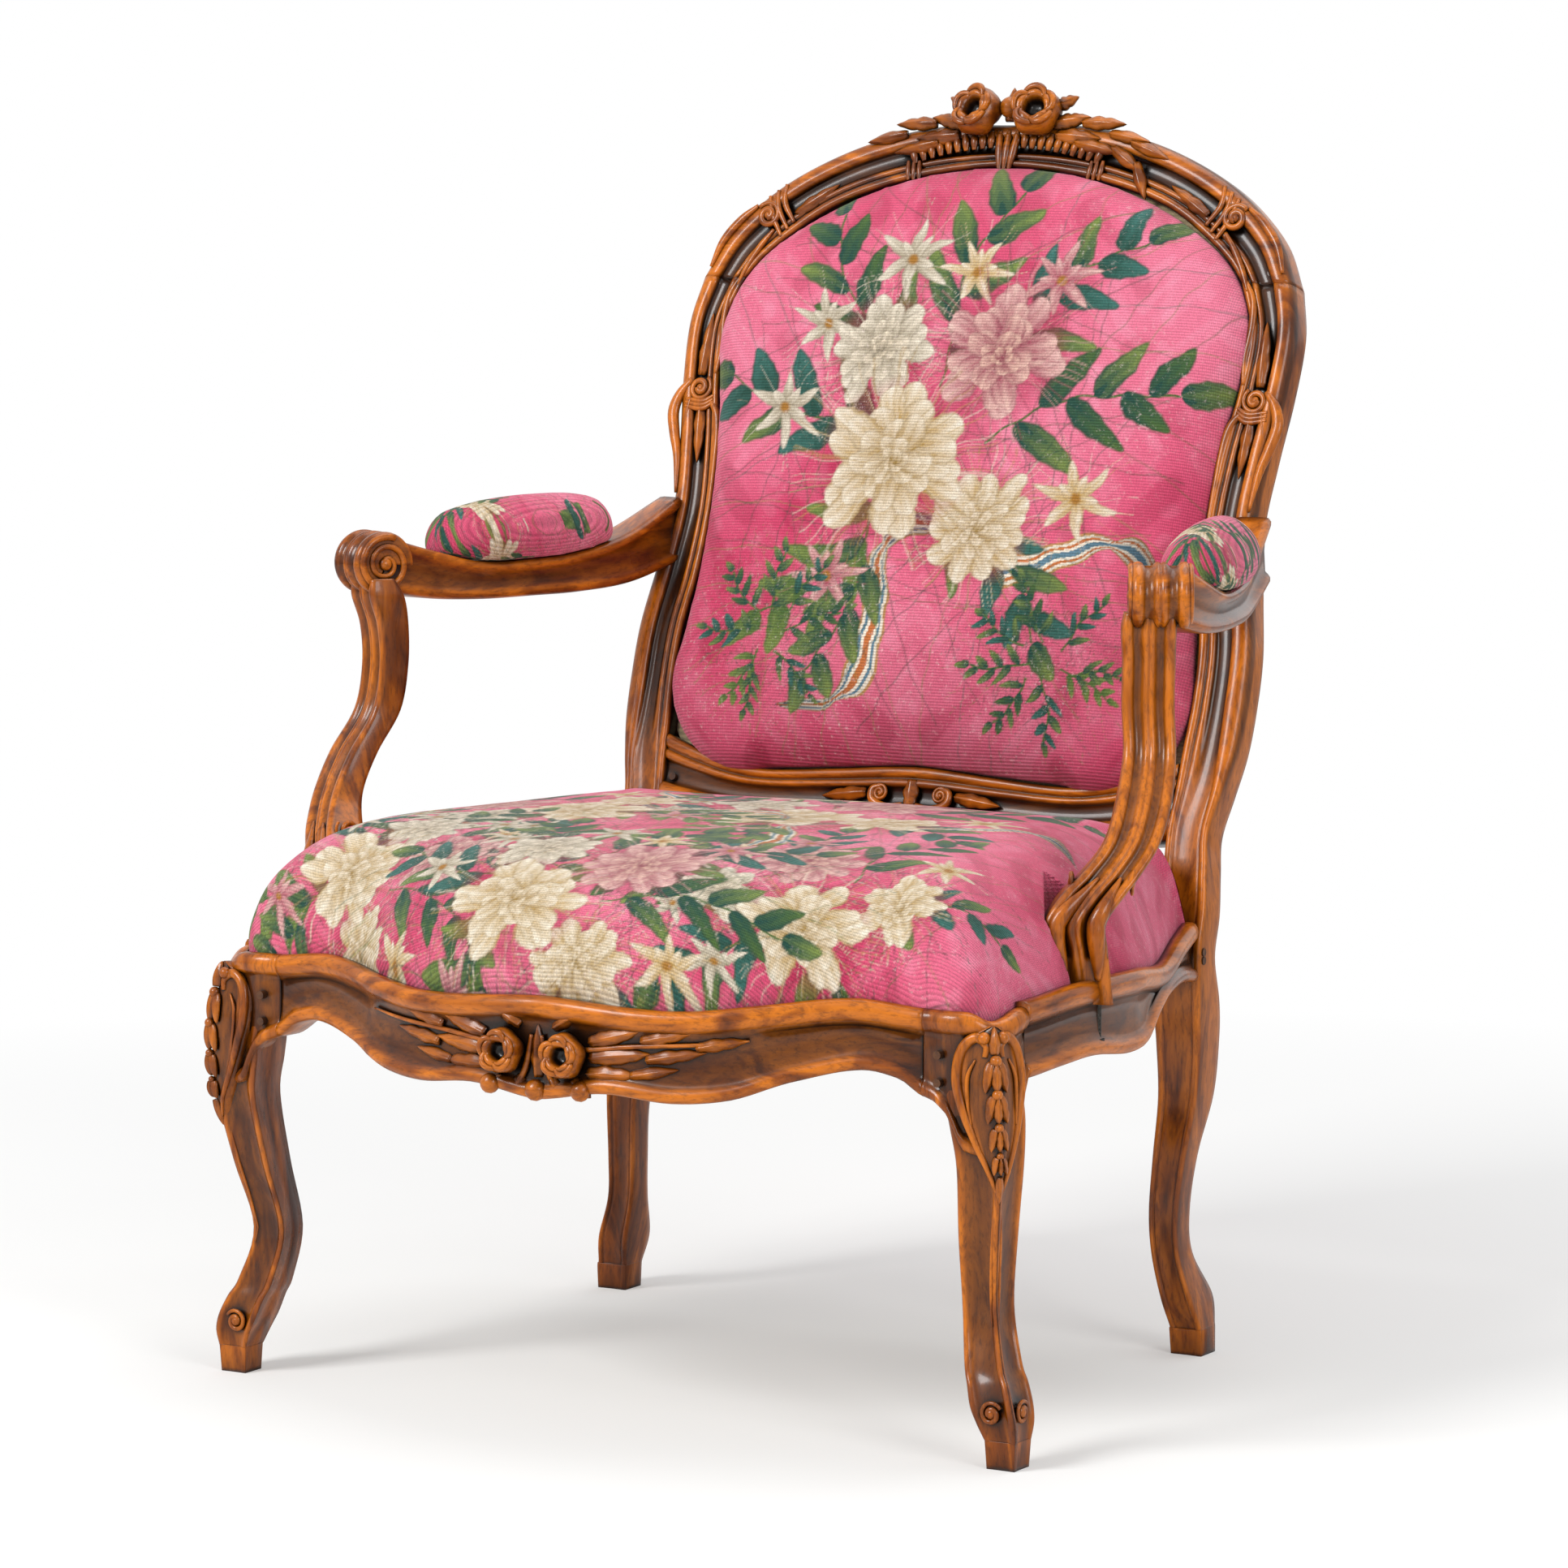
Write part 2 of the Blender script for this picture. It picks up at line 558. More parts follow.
# wood members
postRows = [
    (0, 246, 272, 152, 178), (19, 245, 272, 151, 178), (22, 244.5, 271.5, 150.5, 178.5),
    (44, 240, 267, 144, 183), (77, 233, 257, 142, 168), (110, 231, 256, 141, 165),
    (152.6, 232, 260, 145, 170), (197, 232, 265, 153, 187), (239, 230, 268, 153, 190),
    (269, 230, 270, 148, 186)]
stileRows = [
    (-92, 230, 270), (-60, 230, 269), (-28, 228, 265), (0, 227, 262), (32, 229, 268), (64, 230, 274),
    (100, 232, 276), (141.8, 231, 275), (189, 224, 268), (241.5, 222, 261), (294, 226, 265),
    (346.5, 234, 271), (393.75, 236, 273), (432, 223, 266)]
crestHalf = [(223, 432, 266, 432), (209, 449, 247, 470), (183, 471, 213, 504), (151, 492, 172, 529),
             (110, 507.5, 122, 549), (60, 519, 65, 561), (0, 525, 0, 562)]

rows = []
for z, xIn, xOut, yFront, yBack in postRows:
    strength = 0.15 if z < 20 else (0.8 if z < 45 else 1.0)
    rows.append((xIn, yFront, z, xOut, yFront, z, 0, yBack - yFront, 0, strength, 0))
for v, xIn, xOut in stileRows:
    blend = min(max((v - 20) / 60, 0), 1)
    rows.append((*onBack(xIn, v), *onBack(xOut, v), *behind, 1.0 + 0.35 * blend, blend))
postPart = member(rows, (legMoulding, backMoulding), 7)


def eyeScroll(x, v, radius, turn, mirror=1.0, lift=0.0, thick=3.4):
    # a carved volute lying on the back's face
    shape = {"radius": radius, "start": turn, "turns": 1.6, "grow": 0.9, "count": 40,
             "bead": (thick * 0.6, thick), "sides": 10, "flat": 0.9, "shade": 0.1, "eye": radius * 0.34,
             "eyeFlat": 0.7}
    return volute(onBack(x, v, lift), ((mirror, 0, 0), backUp), faceNormal, shape)


def sweepOn(points, radii, count=24, lift=0.0, shade=0.05, flat=0.8):
    # a bead on the back's face through (x, v) points
    run = smoothRows([(x, v, r) for (x, v), r in zip(points, radii)], count // max(len(points) - 1, 1) + 2)
    path = [onBack(x, v, lift) for x, v, r in run]
    return tube(path, run[:, 2], 10, flat, faceNormal, shade)


stileCarving = eyeScroll(250, 338, 10.5, 2.2, 1, -1.0, 3.2)
stileCarving.append(sweepOn([(259, 345), (268, 333), (272, 318), (268, 300), (262, 280), (258, 250)],
                            [2.6, 4.2, 5, 4.6, 3.4, 1.2], lift=-1.0))
stileCarving.append(sweepOn([(241, 330), (232, 318), (228, 300), (226, 270), (225, 235), (226, 200)],
                            [2, 3.4, 3.2, 2.6, 2.0, 0.8], lift=-1.6))
stileCarving.append(sweepOn([(238, 350), (236, 372), (238, 395), (236, 418), (226, 436)],
                            [2.0, 3.2, 3.2, 2.8, 1.2], lift=-1.4))
stileCarving.append(blade(onBack(252, 349, -3), onBack(250, 402, -3), 12, faceNormal, 3.2, 3))
stileCarving.append(blade(onBack(248, 326, -3), onBack(244, 276, -3), 11, faceNormal, 3.0, 3))
stileCarving.append(blade(onBack(257, 330, -2), onBack(262, 300, -3), 7, faceNormal, 2.6, 2))
for share in (0.0, 0.35, 0.7):
    stileCarving.append(sweepOn([(236, 332 - 9 * share), (246, 327 - 9 * share), (262, 329 - 9 * share)],
                                [1.4, 2.4, 1.6], lift=-0.8))

crestRows = [(*onBack(a, b), *onBack(c, d), *behind, 1.35, 1.0) for a, b, c, d in crestHalf]
crestRows += [(*onBack(-a, b), *onBack(-c, d), *behind, 1.35, 1.0) for a, b, c, d in crestHalf[-2::-1]]
crestParts = [member(crestRows, (backMoulding, backMoulding), 9)]
for x in (-25, 25):
    crestParts += rose(onBack(x, 567, 1), faceNormal + np.array((x * 0.008, 0, 0.25)), 20.5, 19)
crestParts.append(ball(onBack(0, 573, 3), 9, 1.1, faceNormal, 0.1))
crestParts.append(blade(onBack(0, 562, 1), onBack(0, 590, 2), 13, faceNormal, 4, 2))
for side in (-1, 1):
    # leaves laid along the arch from the roses
    sprays = [((38, 560), (72, 566), 14, 5), ((44, 551), (84, 548), 14, 3), ((66, 561), (104, 560), 12, 3),
              ((62, 545), (102, 536), 12, 3), ((92, 552), (128, 545), 11, 2), ((40, 574), (58, 583), 12, 3)]
    if side > 0:
        sprays += [((96, 540), (124, 520), 12, 2), ((112, 545), (146, 531), 11, 2),
                   ((118, 528), (130, 498), 11, 2)]
    for (ax, av), (bx, bv), width, lobes in sprays:
        root, tip = onBack(side * ax, av, 0.5), onBack(side * bx, bv, 0.5)
        crestParts.append(blade(root, tip, width, faceNormal, 4.2, lobes))
    crestParts += eyeScroll(side * 211, 484, 11, 0.6, side, -0.5, 3.6)
    for k in range(3):
        crestParts.append(sweepOn(sided(side, [(196 - 5 * k, 466 + 6 * k), (207 - 5 * k, 484 + 5 * k),
                                               (212 - 7 * k, 500 + 5 * k)]), [1.5, 2.7, 1.6], lift=-0.6))
    crestParts.append(sweepOn(sided(side, [(222, 492), (236, 480), (250, 462), (258, 440)]),
                              [1.8, 3.6, 3.4, 1.6], lift=-0.8))
    crestParts.append(sweepOn(sided(side, [(204, 472), (214, 458), (224, 440), (230, 425)]),
                              [1.6, 2.8, 2.6, 1.2], lift=-0.8))
    crestParts.append(blade(onBack(side * 186, 486, -3), onBack(side * 150, 511, -3), 12, faceNormal, 3.2, 3))
    # small tie on the inner bead
    for k in range(3):
        x = side * (76 + 5 * k)
        crestParts.append(sweepOn([(x, 514), (x + side, 521), (x + side * 2, 530)], [1.3, 2.4, 1.4],
                                  lift=-0.4))
# pleated ribbon under the roses, and its tie at the middle
for k in range(-11, 12):
    x = 7.6 * k
    drop = 0.0019 * x * x
    crestParts.append(sweepOn([(x * 0.97, 541 - drop), (x, 548 - drop), (x * 1.04, 555 - drop)],
                              [1.9, 3.5, 2.2],
                              lift=-0.6, shade=0.2))
for x in (-6, 0, 6):
    crestParts.append(sweepOn([(x * 0.7, 522), (x, 536), (x * 1.3, 552)], [1.6, 3.6, 2.4], lift=0.2))

bottomHalf = [(229, -10, 52), (208, -12, 44), (170, -14, 32.5), (132, -14, 28), (70, -14, 32), (0, -14, 37)]
bottomRows = [(*onBack(s * x, high), *onBack(s * x, low), *(behind * 0.9), 1.2, 1.0)
              for s, group in ((-1, bottomHalf), (1, bottomHalf[-2::-1])) for x, low, high in group]
bottomParts = [member(bottomRows, (backMoulding, backMoulding), 7)]
for side in (-1, 1):
    bottomParts.append(sweepOn(sided(side, [(6, 6), (20, 3), (33, 8), (34, 17), (25, 20)]),
                               [1.6, 3.2, 3.4, 2.8, 1.6], lift=-1))
    bottomParts += eyeScroll(side * 27, 14, 6.5, 1.0, side, -0.6, 2.2)
    bottomParts.append(blade(onBack(side * 40, 14, -2.4), onBack(side * 80, 9, -2.4), 12, faceNormal, 3, 3))
bottomParts.append(blade(onBack(0, 26, -2.2), onBack(0, -4, -2), 14, faceNormal, 3.4, 3))

woodPair("carved_", "rear_post", joinMeshes([postPart] + stileCarving), walnut)
woodPiece("carved_", "crest_rail", joinMeshes(crestParts), walnutAcross)
woodPiece("carved_", "back_bottom_rail", joinMeshes(bottomParts), walnutAcross)
print("stage: back frame")


def alongSeat(axis, value, first, last):
    # where the seat's outline meets a line across it
    part = seatRun[first:last]
    order = np.argsort(part[:, axis])
    return np.array([np.interp(value, part[order, axis], part[order, k]) for k in (0, 1)])


# front rail: swept along the bow, its carving on the middle
railHalf, sideStart, sideLength = 274, -243, 390
blockStart = alongSeat(0, railHalf, 0, 49)
blockEnd = alongSeat(1, sideStart, 60, 100)
frontPlaces = [p for p in seatRun[:49] if p[0] < 273] + [blockStart]
frontPlaces = [np.array((-p[0], p[1])) for p in frontPlaces[::-1]] + frontPlaces[1:]
frontLows = [between(abs(p[0]) / railHalf, frontLower) for p in frontPlaces]
frontHighs = [between(abs(p[0]) / railHalf, frontUpper) for p in frontPlaces]
frontParts = [apron(frontPlaces, frontLows, frontHighs)]


def onFront(x, z, n=0.0):
    # a point on the front rail's face
    far = abs(x)
    xs = seatRun[:, 0]
    i = min(max(int(np.searchsorted(xs[:49], far)), 1), 48)
    share = (far - xs[i - 1]) / max(xs[i] - xs[i - 1], 1e-6)
    y = seatRun[i - 1, 1] + (seatRun[i, 1] - seatRun[i - 1, 1]) * share
    step = seatRun[i] - seatRun[i - 1]
    step = step / np.linalg.norm(step)
    out = np.array((step[1] * math.copysign(1, x), -step[0]))
    return np.array((x + out[0] * n, y + out[1] * n, z))


def frontSweep(points, radii, lift=-4.5, shade=0.05):
    run = smoothRows([(x, z, r) for (x, z), r in zip(points, radii)], 8)
    path = [onFront(x, z, lift) for x, z, r in run]
    return tube(path, run[:, 2], 10, 0.9, (0, -1, 0), shade)


def frontLeaf(a, b, width, lobes=3, lift=3.6):
    return blade(onFront(*a, -5), onFront(*b, -5), width, onFront(*a, 10) - onFront(*a), lift, lobes)


for x in (-26, 26):
    axis = onFront(x, 279, 10) - onFront(x, 279) + np.array((0, 0, 1))
    frontParts += rose(onFront(x, 279, -4), axis, 16.5, 15)
frontLeaves = [
    ((44, 290), (84, 300), 13, 4), ((44, 279), (92, 284), 14, 4), ((42, 268), (84, 268), 13, 3),
    ((84, 293), (122, 300), 11, 3), ((88, 280), (132, 287), 11, 3), ((14, 298), (34, 309), 11, 2),
    ((76, 268), (112, 274), 10, 2), ((30, 262), (44, 250), 12, 2), ((12, 262), (20, 250), 11, 2)]
for side in (-1, 1):
    for root, tip, width, lobes in frontLeaves:
        frontParts.append(frontLeaf(*sided(side, (root, tip)), width, lobes))
    if side > 0:
        frontParts.append(frontLeaf((124, 290), (160, 296), 10, 3))
    frontParts.append(frontSweep(sided(side, [(40, 284), (80, 289), (124, 292), (160, 296)]),
                                 [2.0, 1.8, 1.5, 0.8]))
    frontParts.append(frontSweep(sided(side, [(4, 292), (7, 276), (12, 262), (22, 252)]),
                                 [1.6, 2.2, 2.4, 1.6], -3.5))
    frontParts.append(ball(onFront(side * 38, 255, -1), 7.5, 0.9, (0, -1, 0), 0.15))
frontParts.append(ball(onFront(0, 253, -1), 8, 0.9, (0, -1, 0), 0.15))
frontParts.append(frontLeaf((0, 262), (0, 300), 13, 3, 4.4))
woodPiece("carved_", "front_rail", joinMeshes(frontParts), walnutAcross)

# side rail: from the leg block to the rear post
sidePlaces = [blockEnd] + [p for p in seatRun[60:] if p[1] > -242]
sideShares = [(p[1] - sideStart) / sideLength for p in sidePlaces]
sidePart = apron(sidePlaces, [between(t, sideLower) for t in sideShares],
                 [between(t, sideUpper) for t in sideShares])
woodPair("moulded_", "side_rail", sidePart, walnutDeep)

# front leg with its block: the apron carried round the corner over the leg's head
# its rows: height, side, how far in from the head's middle and forward or back, depth of the moulding
legX, legY = 328, -260
legRows = smoothRows([(0, 22, 0, 0, 0.1), (18.8, 24, 0, 0, 0.1), (20.5, 25, 0, 0, 0.4), (32, 31, 2, 0, 0.8),
                      (44, 34, 6, 1.5, 1), (58, 33, 11, 5, 1), (71.5, 31, 16.8, 9, 1), (110, 28, 24, 15, 1),
                      (161, 32, 18, 3.5, 1), (212, 36, 12, -5, 1), (240, 40, 13.5, -6, 0.9),
                      (257, 41, 15.5, -6.5, 0.6), (275, 38, 17, -5, 0.3), (290, 32, 20, -2, 0),
                      (303, 26, 24, 2, 0)], 6)
legFace = [(0, 1.7), (0.03, 0.5), (0.07, 0), (0.11, 0.1), (0.15, 0.8), (0.18, 2.0), (0.23, 2.6), (0.35, 3.1),
           (0.5, 3.3), (0.65, 3.1), (0.77, 2.6), (0.82, 2.0), (0.85, 0.8), (0.89, 0.1), (0.93, 0),
           (0.97, 0.5), (1, 1.7)]
rings, shades = [], []
for z, side, inset, setback, strength in legRows:
    cx, cy, h = legX - inset, legY + setback, side / 2
    ring = [(cx - h + side * t, cy - h + d * strength, z) for t, d in legFace]
    ring += [(cx + h - d * strength, cy - h + side * t, z) for t, d in legFace[1:]]
    ring += [(cx + h - side * t, cy + h - 0.3, z) for t in (0.06, 0.5, 0.94)]
    ring += [(cx - h + 0.3, cy + h - side * t, z) for t in (0.06, 0.5, 0.94)]
    rings.append(ring)
    depth = [min(d * strength / 3.4, 1) for t, d in legFace]
    shades.append(depth + depth[1:] + [0.2] * 6)
legParts = [ringPart(rings, shades)]
blockPlaces = [blockStart] + [p for p in seatRun[:100] if p[0] > 275 and p[1] < -244] + [blockEnd]
blockFront = [(274, 261), (284, 256.5), (294, 249), (300, 238), (305.5, 226), (324, 220), (340, 218)]
blockSide = [(243, 272), (247, 262), (251, 246), (256, 230), (262, 221), (270, 218)]
blockLows, blockHighs = [], []
for x, y in blockPlaces:
    blockLows.append(between(x, blockFront) if y < -262 else between(-y, blockSide))
    blockHighs.append(322 + 4 * max(0, (y + 262) / 19) - 7 * math.exp(-((x - 326) / 10) ** 2))
legParts.append(apron(blockPlaces, blockLows, blockHighs, 0.4))
diagonal = np.array((1, -1, 0)) / math.sqrt(2)
crosswise = np.array((1, 1, 0)) / math.sqrt(2)
cornerHeights = (95, 110, 135, 161, 212, 240, 257, 275, 290, 312)
cornerX = (319, 317, 320.5, 325, 332, 332.5, 332, 331, 328.5, 325.5)
cornerY = (-260.5, -258, -264, -271, -281.5, -284.5, -286, -285.5, -283, -279.5)


def onCorner(u, z, n=0.0):
    # a point on the block's corner, u across it, wrapped round the edge
    base = np.array((np.interp(z, cornerHeights, cornerX), np.interp(z, cornerHeights, cornerY), z))
    return base + crosswise * u + diagonal * (n + 6 - math.sqrt(u * u + 36))


def cornerSweep(points, radii, lift=0.0, shade=0.05):
    run = smoothRows([(u, z, r) for (u, z), r in zip(points, radii)], 8)
    path = [onCorner(u, z, lift) for u, z, r in run]
    return tube(path, run[:, 2], 10, 0.9, diagonal, shade)


# cartouche over the corner: recessed ground, scrolled rims, bellflowers down its middle
rings, shades = [], []
for z, half in smoothRows([(194, 1.5), (206, 6), (222, 12), (240, 17.5), (258, 21.5), (276, 24), (292, 22.5),
                           (304, 16), (310, 8), (313, 2)], 4):
    across = np.linspace(-1, 1, 19)
    rings.append([onCorner(half * t, z, 3.4 * (1 - t * t) - (1.6 if abs(t) < 0.75 else 0)) for t in across]
                 + [onCorner(half * t, z, -13) for t in (0.9, 0, -0.9)])
    shades.append([0.85 if abs(t) < 0.75 else 0.2 for t in across] + [0.3] * 3)
legParts.append(ringPart(rings, shades))
for side in (-1, 1):
    legParts.append(cornerSweep(sided(side, [(1.5, 196), (7, 212), (14, 232), (20, 254), (23, 276), (19, 296),
                                             (11, 305), (5, 300), (6, 292)]),
                                [1.2, 2.0, 2.8, 3.5, 4.0, 4.2, 3.8, 3.0, 2.2], 1.0))
    legParts.append(cornerSweep(sided(side, [(16, 244), (17.5, 262), (17, 278), (12, 290)]),
                                [0.8, 1.5, 1.6, 0.8], 1.6))
    legParts.append(ball(onCorner(side * 6.5, 305, 3), 4.6, 1, diagonal))
    legParts.append(cornerSweep(sided(side, [(0.8, 200), (2.6, 170), (3.0, 130), (2.5, 98)]),
                                [1.0, 1.4, 1.2, 0.6], -2))
legParts.append(blade(onCorner(0, 294, 2), onCorner(0, 313, 3), 9, diagonal, 4, 2))
for z, size in ((289, 12.5), (266, 11.5), (243, 9.5), (223, 7.5)):
    for k in (-1, 1, 0):
        root, tip = onCorner(k * 1.6, z, 2.2), onCorner(k * size * 0.62, z - size * 1.7, 3.0)
        legParts.append(blade(root, tip, size * 0.85, diagonal, 4.4 if k == 0 else 3.4, 1, 1.5))
    legParts.append(ball(onCorner(0, z + 1, 4), size * 0.34, 1, diagonal, 0.1))
legParts.append(blade(onCorner(0, 209, 2), onCorner(0, 188, 1), 6, diagonal, 3, 0))
# volutes on the foot's two outer faces
footVolute = {"radius": 8.6, "start": 0.5, "turns": 1.5, "grow": 0.9, "count": 34, "bead": (1.4, 2.6),
              "sides": 8, "flat": 0.9, "shade": 0.1, "eye": 3.6, "eyeFlat": 0.7}
for face, across in (((0, -1, 0), (1, 0, 0)), ((1, 0, 0), (0, 1, 0))):
    centre = np.array((322.5, -259, 40.0)) + np.array(face) * 16.2
    legParts += volute(centre, (across, (0, 0, 1)), face, footVolute)
woodPair("carved_", "front_leg", joinMeshes(legParts), walnut)
print("stage: seat frame and legs")

# arms and their supports
turn = math.radians(29)
scrollAxis = np.array((math.cos(turn), math.sin(turn), 0))
scrollBack = np.array((-math.sin(turn), math.cos(turn), 0))
up = np.array((0, 0, 1.0))
scrollCentre = np.array((341.0, -60.0, 597.0))
scrollRadius, scrollWidth = 25, 42
supportRows = smoothRows([
    (312, 328, -150, 42, 30), (335, 327, -153, 42, 32), (352, 326.5, -157, 43, 35), (371, 326, -160, 45, 37),
    (391, 335, -148, 46, 34), (404, 342, -136, 43, 29), (425, 349, -117, 40, 25), (453, 348, -97, 40, 24),
    (484, 341, -75, 38, 24), (518, 337, -70, 38, 24), (549, 338, -71, 38, 26), (572, 341, -77.5, 39.5, 29),
    (586, 341.5, -76, 38, 20)], 7)
supportRings = []
for z, x, y, width, depth in supportRows:
    middle = np.array((x, y, z))
    supportRings.append((*(middle - scrollAxis * width / 2), *(middle + scrollAxis * width / 2),
                         *(scrollBack * depth), 1.0 if z > 345 else 0.5, 0))
supportVolute = {"radius": 10.5, "start": 2.4, "turns": 1.4, "grow": 0.9, "count": 34, "bead": (1.2, 2.8),
                 "sides": 8, "flat": 0.9, "shade": 0.1, "eye": 3.8, "eyeFlat": 0.7}
supportParts = [member(supportRings, (supportMoulding, supportMoulding), 1)]
for side in (-1, 1):
    # small volute where the S turns, on both side faces
    centre = np.array((337.0, -140.0, 398.0)) + scrollAxis * side * 21.5 + scrollBack * 13
    supportParts += volute(centre, (scrollBack, up), scrollAxis * side, supportVolute)
for side in (-1, 1):
    # the two rolls that swell out at the foot of the support
    run = smoothRows([(side * 11, 330, -152, 2.5), (side * 13, 345, -157, 5), (side * 14, 362, -161, 6.5),
                      (side * 13, 378, -157, 6), (side * 10, 392, -146, 3.5), (side * 8, 402, -138, 1.2)], 6)
    path = []
    for a, z, y, r in run:
        path.append(np.array((np.interp(z, (330, 371, 402), (327, 326, 341)), y + 2, z)) + scrollAxis * a)
    supportParts.append(tube(path, run[:, 3], 12, 0.8, -scrollBack, 0.05))

armVolute = {"radius": 21.5, "start": 1.2, "turns": 2.1, "grow": 0.85, "count": 60, "bead": (3.0, 2.0),
             "sides": 8, "flat": 0.8, "shade": 0.05, "eye": 5.0, "eyeFlat": 0.6}
# the arm: middle of its section, its course, width and height
armRows = [
    ((341, -60, 597), scrollBack, 38, 44), ((333, -12, 586), (-0.2, 1, 0), 43, 38),
    ((320, 39, 579), (-0.27, 1, 0), 46, 30), ((306, 90, 579), (-0.27, 1, 0), 46, 30),
    ((292, 138, 581), (-0.27, 1, 0), 42, 33), ((276, 190, 589), (-0.3, 1, 0), 36, 40),
    ((262, 249, 609), (-0.35, 1, 0), 29, 52)]
# half of the arm's section: offset from its side, foot (-1) or top (1), offset from there
armSection = [
    (-7, -1, 0), (-2.4, -1, 0.6), (-0.3, -1, 3), (-0.3, -1, 6), (-2, -1, 8.4), (-4.2, -1, 10.6), (-5.0, 0, 0),
    (-4.0, 1, -11), (-2, 1, -8.6), (0, 1, -6.4), (0.2, 1, -3.4), (-2, 1, -0.6), (-7, 1, 0)]
armRun = smoothRows([(*c, *d, w, h) for c, d, w, h in armRows], 8)
rings, shades = [], []
for row in armRun:
    centre, along, width, height = row[:3], row[3:6], row[6], row[7]
    across = np.array((along[1], -along[0], 0)) / math.hypot(along[0], along[1])
    half, tall = width / 2, height / 2
    right = [(half + a, end * tall + b) for a, end, b in armSection]
    ring = right + [(-a, b) for a, b in right[::-1]]
    rings.append([centre + across * a + up * b for a, b in ring])
    depth = [0, 0, 0, 0, 0.3, 0.7, 0.9, 0.7, 0.3, 0, 0, 0, 0]
    shades.append(depth + depth[::-1])
armParts = [ringPart(rings, shades)]
rings, shades = [], []
for i in range(41):
    angle = math.radians(-66 + 250 * i / 40)
    radial = -scrollBack * math.cos(angle) + up * math.sin(angle)
    place = scrollCentre + radial * scrollRadius
    near = place - scrollAxis * (scrollWidth / 2)
    ring = [near + scrollAxis * scrollWidth * u - radial * d for u, d in supportMoulding]
    for u, t in ((1, 0.4), (1, 0.75), (0.96, 0.97), (0.5, 1), (0.04, 0.97), (0, 0.75), (0, 0.4)):
        ring.append(near + scrollAxis * scrollWidth * u - radial * 24.5 * t)
    rings.append(ring)
    shades.append(list(hollowOf(supportMoulding[:, 1])) + [0.15] * 7)
armParts.append(ringPart(rings, shades))
for side in (-1, 1):
    centre = scrollCentre + scrollAxis * side * 21.2
    armParts += volute(centre, (scrollBack, up), scrollAxis * side, armVolute)
woodPair("carved_", "arm_support", joinMeshes(supportParts), walnut)
woodPair("carved_", "arm", joinMeshes(armParts), walnutDeep)
print("stage: arms")

# the tapestry's generic flowers
dyes = {
    "ground": "#E04C74", "groundLight": "#F592AB", "groundDark": "#A2173F", "cream": "#F2E7D3",
    "yellow": "#D2AA60", "pale": "#E8BDB4", "rose": "#B9566A", "leafLight": "#7F9148", "leafDark": "#1F4A3E",
    "teal": "#3F756C", "moss": "#4E6B34", "tan": "#B98A55", "orange": "#C4713C", "blue": "#5F8294",
    "heart": "#A8742C", "stone": "#B3A488"}
dye = {name: np.array(fromHex(code)[:3]) for name, code in dyes.items()}


def soft(edge, width, value):
    return np.clip((value - edge) / width + 0.5, 0, 1)


def lay(colour, mask, amount, paint):
    amount = np.asarray(amount)[..., None]
    colour[mask] = colour[mask] * (1 - amount) + paint * amount


def petalOn(colour, near, du, dv, root, angle, length, width, tip, base, point=0.0):
    # one woven petal or leaf, shaded from its root to its tip
    c, s = math.cos(angle), math.sin(angle)
    p = ((du - root[0]) * c + (dv - root[1]) * s) / length
    q = (-(du - root[0]) * s + (dv - root[1]) * c) / width
    half = np.sqrt(np.clip(1 - ((p - 0.52) / 0.5) ** 2, 0, 1)) * (1 - point * np.clip(p, 0, 1))
    half = half * (1 - 0.1 * np.abs(np.sin(p * 13 + angle)))
    light = (np.clip(p, 0, 1) ** 1.2 * (1 - 0.3 * np.abs(q)) + 0.12 * np.sin(q * 9 + angle * 5))[:, None]
    light = np.round(np.clip(light, 0, 1) * 5) / 5
    paint = base * (1 - light) + tip * light
    lay(colour, near, soft(0, 0.14, half - np.abs(q)), paint)
    rim = soft(0, 0.06, half - np.abs(q)) * soft(0, 0.06, np.abs(q) - half + 0.14)
    lay(colour, near, 0.35 * rim, base * 0.6)


# a blossom's rings of petals: how many, how far out, their length and width
bloomRings = [(11, 0.42, 0.62, 0.2), (9, 0.24, 0.6, 0.2), (8, 0.1, 0.5, 0.18), (6, 0.0, 0.36, 0.14),
              (5, -0.06, 0.24, 0.1)]


